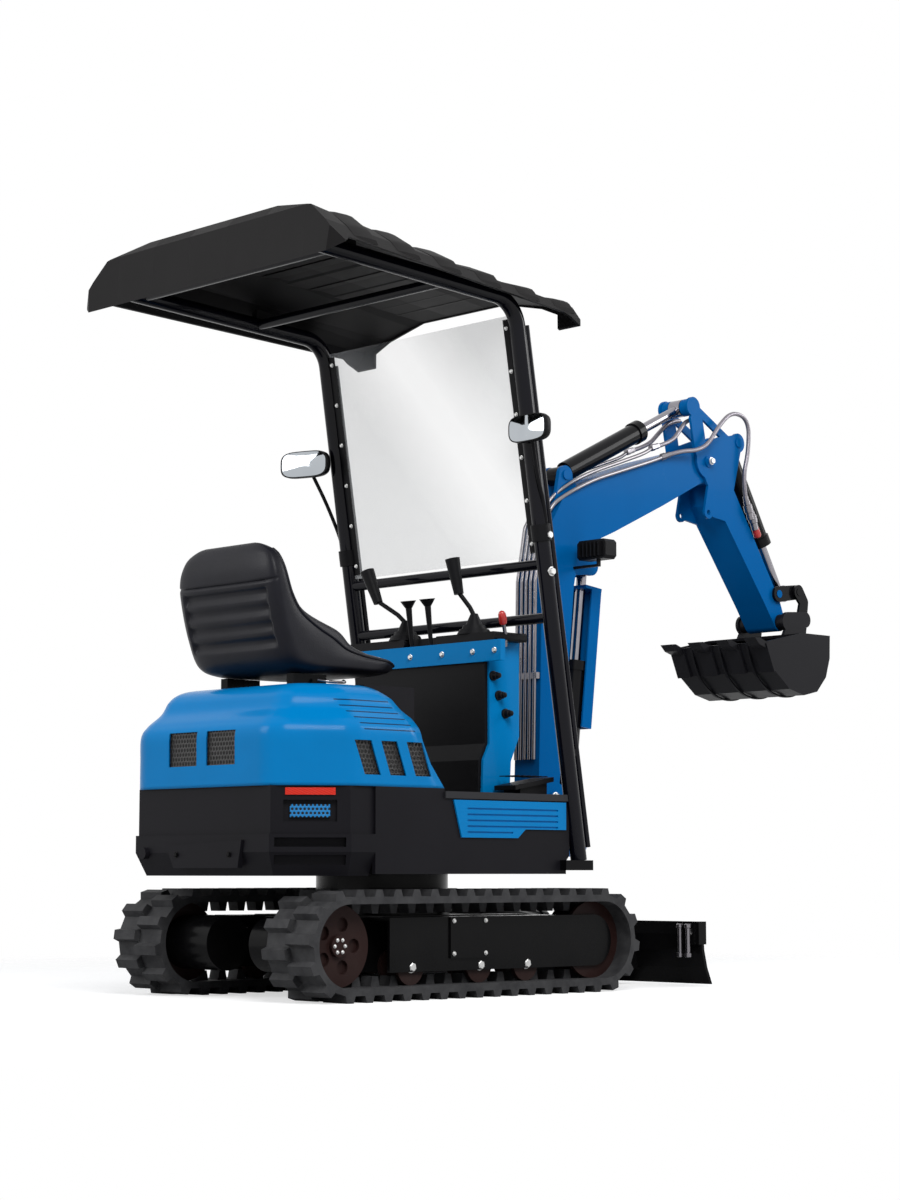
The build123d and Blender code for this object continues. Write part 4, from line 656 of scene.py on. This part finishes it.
def tub(along, turn):
    """The seat's skin. Along the seat, two paths give its underside and its top; across it, a rounded
    rectangle spreads the point from the one to the other. Bolsters, seams and ribs shift it square to
    the seat."""
    fine = 801
    place = along * (fine - 1)
    under, top = [np.stack([np.interp(place, np.arange(fine), path[:, i]) for i in (0, 1)], -1)
                  for path in (through(SEAT_UNDER, fine), through(SEAT_TOP, fine))]
    across = pressed_out(np.cos(turn), 0.42)
    depth = pressed_out(np.sin(turn), 0.60)
    front_taper = 0.86 + 0.14 * smooth(0, 0.16, along)
    head_taper = np.sqrt(1 - 0.52 * np.clip((along - 0.78) / 0.22, 0, 1) ** 2.4)
    half = SEAT_HALF * front_taper * head_taper
    nose = np.clip(np.minimum(along / 0.045, (1 - along) / 0.06), 0, 1)
    round_off = np.maximum(0.06, np.sqrt(1 - (1 - nose) ** 2))
    square = (top - under) / np.linalg.norm(top - under, axis=-1, keepdims=True)
    far = np.abs(across)
    face = np.clip(1.6 * depth, 0, 1)
    back = np.clip(-1.6 * depth, 0, 1)
    crest = BOLSTER_RISE * hump(along, 0.47, 0.17) + EDGE_RISE * along * (1 - along)
    rise = crest * hump(far, 0.90, 0.16) * face
    seam = SEAM_DEPTH * hump(far, 0.66, 0.022) * face * smooth(0.03, 0.08, along)
    sewn = sum(hump(along, channel, 0.007) for channel in CHANNELS) * CHANNEL_DEPTH
    sewn = sewn * (1 - smooth(0.60, 0.66, far)) * face
    crown = CROWN_RISE * (1 - far**2) * face
    panel = smooth(PANEL_FROM, 0.58, along) * (1 - smooth(0.79, 0.81, along))
    panel = panel * (1 - smooth(0.80, 0.86, far)) * back
    ribs = panel * (PANEL_RISE - RIB_RISE * np.cos(2 * pi * (along - PANEL_FROM) / RIB_PITCH))
    yoke = YOKE_RISE * hump(along, 0.825, 0.005) * back
    shift = rise + crown - seam - sewn + ribs + yoke
    middle = (under + top) / 2
    spread = (top - under) / 2 * (depth * round_off)[..., None]
    flat = middle + spread + square * (shift * round_off)[..., None]
    return at(np.stack([flat[..., 0], half * across * (0.7 + 0.3 * round_off), flat[..., 1]], -1))


vinyl = Finish("seat_vinyl", Specular_IOR_Level=0.14)
leather = vinyl.place.pebbles(380.0)
creases = vinyl.place.noise(14.0, 4.0, 0.6)
vinyl.set(Base_Color=creases.mix(colour(0.006, 0.006, 0.0085), colour(0.013, 0.013, 0.018)))
vinyl.set(Roughness=0.30 + creases * 0.16)
vinyl.set(Normal=(leather + creases * 2.0).bump(0.0008, 0.3))
SEAT_ROWS = 230
SEAT_TURNS = 160
seat_along = np.linspace(0, 1, SEAT_ROWS)
seat_turn = np.linspace(0, 2 * pi, SEAT_TURNS, endpoint=False)
seat_skin = tub(*np.meshgrid(seat_along, seat_turn, indexing="ij"))
seat = put("seat_cushion", [seat_skin], vinyl, "house", 80)
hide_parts("seat")

WELT_R = 0.005
side_run = np.linspace(0.03, 0.93, 90)
over_turn = np.linspace(pi - 0.6, 0.6, 60)
welt = np.concatenate([
    tub(side_run, 0 * side_run + pi - 0.4),
    tub(0 * over_turn + 0.955, over_turn),
    tub(side_run[::-1], 0 * side_run + 0.4)])
put("seat_welt", [tube(welt, WELT_R, (0.35, 0.25, -0.9), 10)], vinyl, "house", 80)
SLIDE_LEVER = [(-420, -180, 914), (-400, -206, 908), (-350, -214, 908), (-330, -190, 914)]
SLIDE_R = 0.0045
put("slide_lever", [rod(SLIDE_LEVER, 30, SLIDE_R, (0, 0, 1))], bright_steel, "house")


# The controls: grained black plastic grips, boots and panels over a blue steel beam held by bolts.
# A lever with a red knob and small switches stand at the right end of the console.
control_plastic = moulded("control_plastic", colour(0.007, 0.007, 0.008), 0.36, 900.0)
control_plastic.wear("joysticks", "levers", "pedal", "mirrors", "console_panel", "work_lamp")
painted("floor_grey", colour(0.035, 0.035, 0.038), 0.5, 0.0, 0.0, 1.0).wear("floor_plate")
BEAM_X = 140
BEAM_Z = 1024
BEAM_BOLT_Y = (-345, -252, -118, 24, 168, 345)
hex_bolts("beam_bolts", [(BEAM_X, y, BEAM_Z) for y in BEAM_BOLT_Y], (-1, 0, 0), 8, "house")
red_knob = Finish("red_knob", Coat_Weight=0.4)
knob_tone = red_knob.place.noise(40.0)
red_knob.set(Base_Color=knob_tone.mix(colour(0.46, 0.012, 0.010), colour(0.58, 0.024, 0.018)))
red_knob.set(Roughness=0.22 + knob_tone * 0.1)
SAFETY_LEVER = [(205, -326, 1040), (196, -334, 1074), (178, -344, 1112)]
SAFETY_R = 0.006
put("safety_lever", [rod(SAFETY_LEVER, 20, SAFETY_R)], bright_steel, "house")
KNOB = [(0, 7), (4, 11), (16, 13), (34, 12), (42, 8), (45, 3)]
KNOB_AT = (180, -343, 1104)
KNOB_WAY = (-0.45, -0.25, 0.85)
put("safety_knob", lathe(KNOB, [KNOB_AT], KNOB_WAY), red_knob, "house")
SWITCH = [(0, 15), (6, 15), (8, 11), (20, 11), (22, 8), (30, 8), (32, 5)]
SWITCHES_AT = [(176, -300, 950), (200, -300, 892), (228, -300, 838)]
put("cheek_switches", lathe(SWITCH, SWITCHES_AT, (0, -1, 0)), control_plastic, "house")
TREAD_X = (190, 214, 238, 262, 286, 310)
TREAD_Y = (-396, -318)
TREAD_Z = 647
TREAD_WIDE = (8, 0, 0)
TREAD_HIGH = (0, 0, 3)
treads = []
for x in TREAD_X:
    start, end = [(x, y, TREAD_Z) for y in TREAD_Y]
    treads.append(bar(start, end, TREAD_WIDE, TREAD_HIGH))
put("pedal_treads", treads, control_plastic, "house")


# The canopy: bent steel tubes in gloss blue-black, the grained roof, and the clear sheet between the posts.
# Black strips with screws clamp the sheet's two sides, and both mirrors have a silvered glass.
painted("tube_black", colour(0.003, 0.003, 0.006), 0.14, 0.22, 0.0, 1.0).wear(
    "canopy_tubes", "crossbars", "post_rails")
roof_moulding = moulded("roof_moulding", colour(0.0075, 0.0070, 0.0073), 0.48, 420.0, folds=0.02).wear("roof")


def roof_line(x, count):
    """The roof's outline at one x, from edge to edge. The rear's and the nose's corners are mixed by the
    share of the way between them, and the top is cut off by a plane that falls towards the front."""
    k = (x - ROOF_X[0]) / (ROOF_X[1] - ROOF_X[0])
    half = ROOF_HALF - ROOF_NARROWS * k
    corner = np.array(ROOF_REAR) * (1 - k) + np.array(ROOF_NOSE) * k
    inset = np.r_[corner[:, 0], 2 * half - corner[::-1, 0]]
    rise = np.r_[corner[:, 1], corner[::-1, 1]]
    start = np.interp(RIM_Z - (x - RIM_X) * RIM_FALL, corner[:, 1], corner[:, 0])
    across = np.linspace(start, 2 * half - start, count)
    top = TOP_Z - (x - ROOF_X[0]) * TOP_FALL
    return np.c_[0 * across + x, across - half, np.minimum(np.interp(across, inset, rise), top)]


ROOF_X = (-725, 352)
ROOF_HALF = 600
ROOF_NARROWS = 92
RIM_X = -665
RIM_Z = 2118
RIM_FALL = 0.057
TOP_Z = 2248
TOP_FALL = 0.09
ROOF_REAR = [(0, 2096), (60, 2160), (125, 2216), (330, 2258)]
ROOF_NOSE = [(0, 2042), (34, 2086), (140, 2112), (310, 2148)]
RIB_X = (-640, -462, -284, -106, 72, 240)
RIB_HALF = 49
RIB_SHAPE = np.array([(0, -4), (8, 7), (26, 9), (72, 9), (90, 7), (98, -4)])
rib_ring = np.c_[RIB_SHAPE[:, 0] - RIB_HALF, 0 * RIB_SHAPE[:, 0], RIB_SHAPE[:, 1]]
ribs = [at(roof_line(x + RIB_HALF, 121)[:, None] + rib_ring) for x in RIB_X]
put("roof_ribs", ribs, roof_moulding, "house")
clear_sheet = Finish("clear_sheet", IOR=1.46, Roughness=0.34, Specular_IOR_Level=0.2)
haze = clear_sheet.place.noise(4.0, 2.0)
# A diagonal band across the sheet is made clearer, so the white room shows through brighter there: a painted
# sheen.
painted_sheen = (clear_sheet.place.part(1) * 0.8 - clear_sheet.place.part(2) * 0.6 + 1.12).size().ramp(0.26, 0.04)
clear_sheet.set(Base_Color=haze.mix(colour(0.74, 0.75, 0.75), colour(0.80, 0.81, 0.81)))
clear_sheet.set(Alpha=0.24 - painted_sheen * 0.18 + haze * 0.04)
clear_sheet.wear("windshield")


SHEET_FOOT = (261, 1310)
SHEET_LEAN = 123 / 728


def sheet_x(z):
    """How far forward the leaning sheet's rear face is at a height."""
    return SHEET_FOOT[0] - (z - SHEET_FOOT[1]) * SHEET_LEAN


STRIP_Z = (1322, 2026)
STRIP_Y = 398
STRIP_BACK = 4
STRIP_WIDE = (0, 24, 0)
STRIP_THICK = (4, 0, 0.7)
SCREW_BACK = 6
SCREW_WAY = (-1, 0, -0.16)
CLAMP_Z = (1350, 1480, 1610, 1740, 1870, 2000)
for side, tag in SIDES:
    y = side * STRIP_Y
    low, high = [(sheet_x(z) - STRIP_BACK, y, z) for z in STRIP_Z]
    strip = bar(low, high, STRIP_WIDE, STRIP_THICK)
    put("sheet_strip_" + tag, [strip], control_plastic, "house")
    screws = [(sheet_x(z) - SCREW_BACK, y, z) for z in CLAMP_Z]
    hex_bolts("strip_screws_" + tag, screws, SCREW_WAY, 6, "house")

mirror_glass = Finish("mirror_glass", Metallic=1.0)
film = mirror_glass.place.noise(9.0, 3.0)
mirror_glass.set(Base_Color=film.mix(colour(0.40, 0.43, 0.46), colour(0.52, 0.55, 0.58)))
mirror_glass.set(Roughness=0.04 + film * 0.05)
MIRRORS = {"right": ((157, -482, 1684), (79, 42), 0), "left": ((128, 511, 1684), (90, 44), 18)}
SHELL_RINGS = [(17, 0.70), (15, 0.86), (10, 0.95), (0, 1.0), (-14, 1.0), (-17, 0.98), (-17, 0.93)]
GLASS_RINGS = [(-14, 0.92), (-17.6, 0.92), (-18.2, 0.90)]


def mirror_rings(middle, half, swing, rings):
    """A head built of rounded rectangles, each as far along its own axis and as large as its ring says,
    the whole turned about the upright by the swing."""
    turn = np.linspace(0, 2 * pi, 48, endpoint=False)
    deep, large = np.array(rings).T[:, :, None]
    along = large * (half[0] * pressed_out(np.cos(turn), 0.5))
    up = large * (half[1] * pressed_out(np.sin(turn), 0.6))
    c, s = np.cos(radians(swing)), np.sin(radians(swing))
    return at(middle + np.stack([deep * c - along * s, deep * s + along * c, up], -1))


heads = put("mirror_heads", [mirror_rings(*m, SHELL_RINGS) for m in MIRRORS.values()], control_plastic,
            "house")
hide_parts("mirrors")
put("mirror_glass", [mirror_rings(*m, GLASS_RINGS) for m in MIRRORS.values()], mirror_glass,
    "house")
STALKS = [[(164, -482, 1652), (196, -470, 1560), (232, -462, 1470), (250, -458, 1400)],
          [(150, 500, 1646), (186, 478, 1560), (226, 466, 1470), (250, 458, 1400)]]
STALK_R = 0.006
put("mirror_stalks", [rod(stalk, 40, STALK_R) for stalk in STALKS], control_plastic, "house")
CLAMP = [(-26, 29), (-25, 31), (25, 31), (26, 29)]
CLAMPS_AT = [(249, -436, 1380), (249, 436, 1380)]
POST_WAY = (-0.159, 0, 0.987)
put("mirror_clamps", lathe(CLAMP, CLAMPS_AT, POST_WAY), control_plastic, "house")


# The arm's fittings: drawn steel pipes run on from the boom's back along its top edge to the elbow.
# A flat lens closes the work lamp, a red cap hangs at the couplings, and large bolts end the pins.
TOP_PIPES = {
    "right": [(700, -40, 1532), (728, -48, 1566), (790, -60, 1606), (900, -62, 1655), (1040, -62, 1702),
              (1180, -62, 1748), (1246, -64, 1772)],
    "upper": [(700, -20, 1534), (726, -30, 1580), (790, -48, 1632), (900, -50, 1682), (1040, -50, 1732),
              (1150, -50, 1772), (1200, -50, 1798)],
    "left": [(700, 40, 1534), (726, 44, 1580), (790, 50, 1630), (900, 50, 1682), (1040, 50, 1732),
             (1140, 50, 1768), (1188, 50, 1795)],
}
PIPE_R = 0.0065
for tag, run in TOP_PIPES.items():
    put("boom_top_pipe_" + tag, [rod(run, 90, PIPE_R)], bright_steel, "boom_arm")
lens = Finish("lamp_lens", Roughness=0.08, Coat_Weight=0.6)
prism = (lens.place.part(1) * 140.0).fraction()
lens.set(Base_Color=prism.mix(colour(0.50, 0.51, 0.52), colour(0.68, 0.69, 0.70)))
lens.set(Normal=prism.bump(0.001, 0.5))
LENS_ENDS = [(841, -196, 1404), (841, -90, 1404)]
LENS_HIGH = (0, 0, 50)
LENS_THICK = (5, 0, 0)
put("lamp_lens", [bar(*LENS_ENDS, LENS_HIGH, LENS_THICK)], lens, "boom_arm")
CAP = [(0, 6), (3, 13), (30, 14), (36, 11), (38, 5)]
CAP_AT = (1716, -76, 1570)
CAP_WAY = (0.4, 0, -0.9)
put("coupler_cap", lathe(CAP, [CAP_AT], CAP_WAY), red_knob, "dipper_arm")
TO_RIGHT = (0, -1, 0)
ELBOW_PIN_END = (1475, -82, 1780)
POST_BOLTS_AT = [(255, -461, 1372), (266, -461, 1262)]
FOOT_PIN_END = (680, -80, 600)
hex_bolts("elbow_pin_bolt", [ELBOW_PIN_END], TO_RIGHT, 12, "dipper_arm")
hex_bolts("post_bolts", POST_BOLTS_AT, TO_RIGHT, 13, "house")
hex_bolts("boom_foot_bolt", [FOOT_PIN_END], TO_RIGHT, 14, "swing_post")


# The bucket: charcoal painted plate, bent to a round back, with teeth on its lip.
# Flat shanks carry the teeth up the outside, and narrow straps guard the skin against wear.
BUCKET_SKIN = [(1598, 1146), (1640, 1050), (1720, 990), (1802, 973), (1876, 989), (1928, 1043), (1950, 1112)]
bucket_grey = painted("bucket_grey", colour(0.0110, 0.0108, 0.0130), 0.36, 0.05, 0.0, 1.0)
bucket_grey.wear("bucket", "bucket_teeth")
TOOTH_Y = (-189, -63, 63, 189)
SHANK_WIDE = 60
SHANK_THICK = 14
WEAR_Y = (-126, 0, 126)
WEAR_WIDE = 9
WEAR_THICK = 6


def strap(points, y, wide, thick):
    """A flat strap bent along a line seen from the side: its rectangle is carried along the smooth path,
    with its width across the machine and its thickness square to the path."""
    line = through([(x, y, z) for x, z in points], 40)
    way = np.gradient(line, axis=0)
    way /= np.linalg.norm(way, axis=1, keepdims=True)
    square = np.cross(way, (0, 1, 0))
    corner = np.array([(-1, -1), (1, -1), (1, 0.7), (0.86, 1), (-0.86, 1), (-1, 0.7)])
    ring = corner[None, :, :1] * (0, wide / 2, 0) + corner[None, :, 1:] * square[:, None] * thick / 2
    return at(line[:, None] + ring)


shanks = [strap(BUCKET_SKIN[:2], y, SHANK_WIDE, SHANK_THICK) for y in TOOTH_Y]
put("tooth_shanks", shanks, bucket_grey, "bucket_body")
wear_straps = [strap(BUCKET_SKIN, y, WEAR_WIDE, WEAR_THICK) for y in WEAR_Y]
put("wear_straps", wear_straps, bucket_grey, "bucket_body")
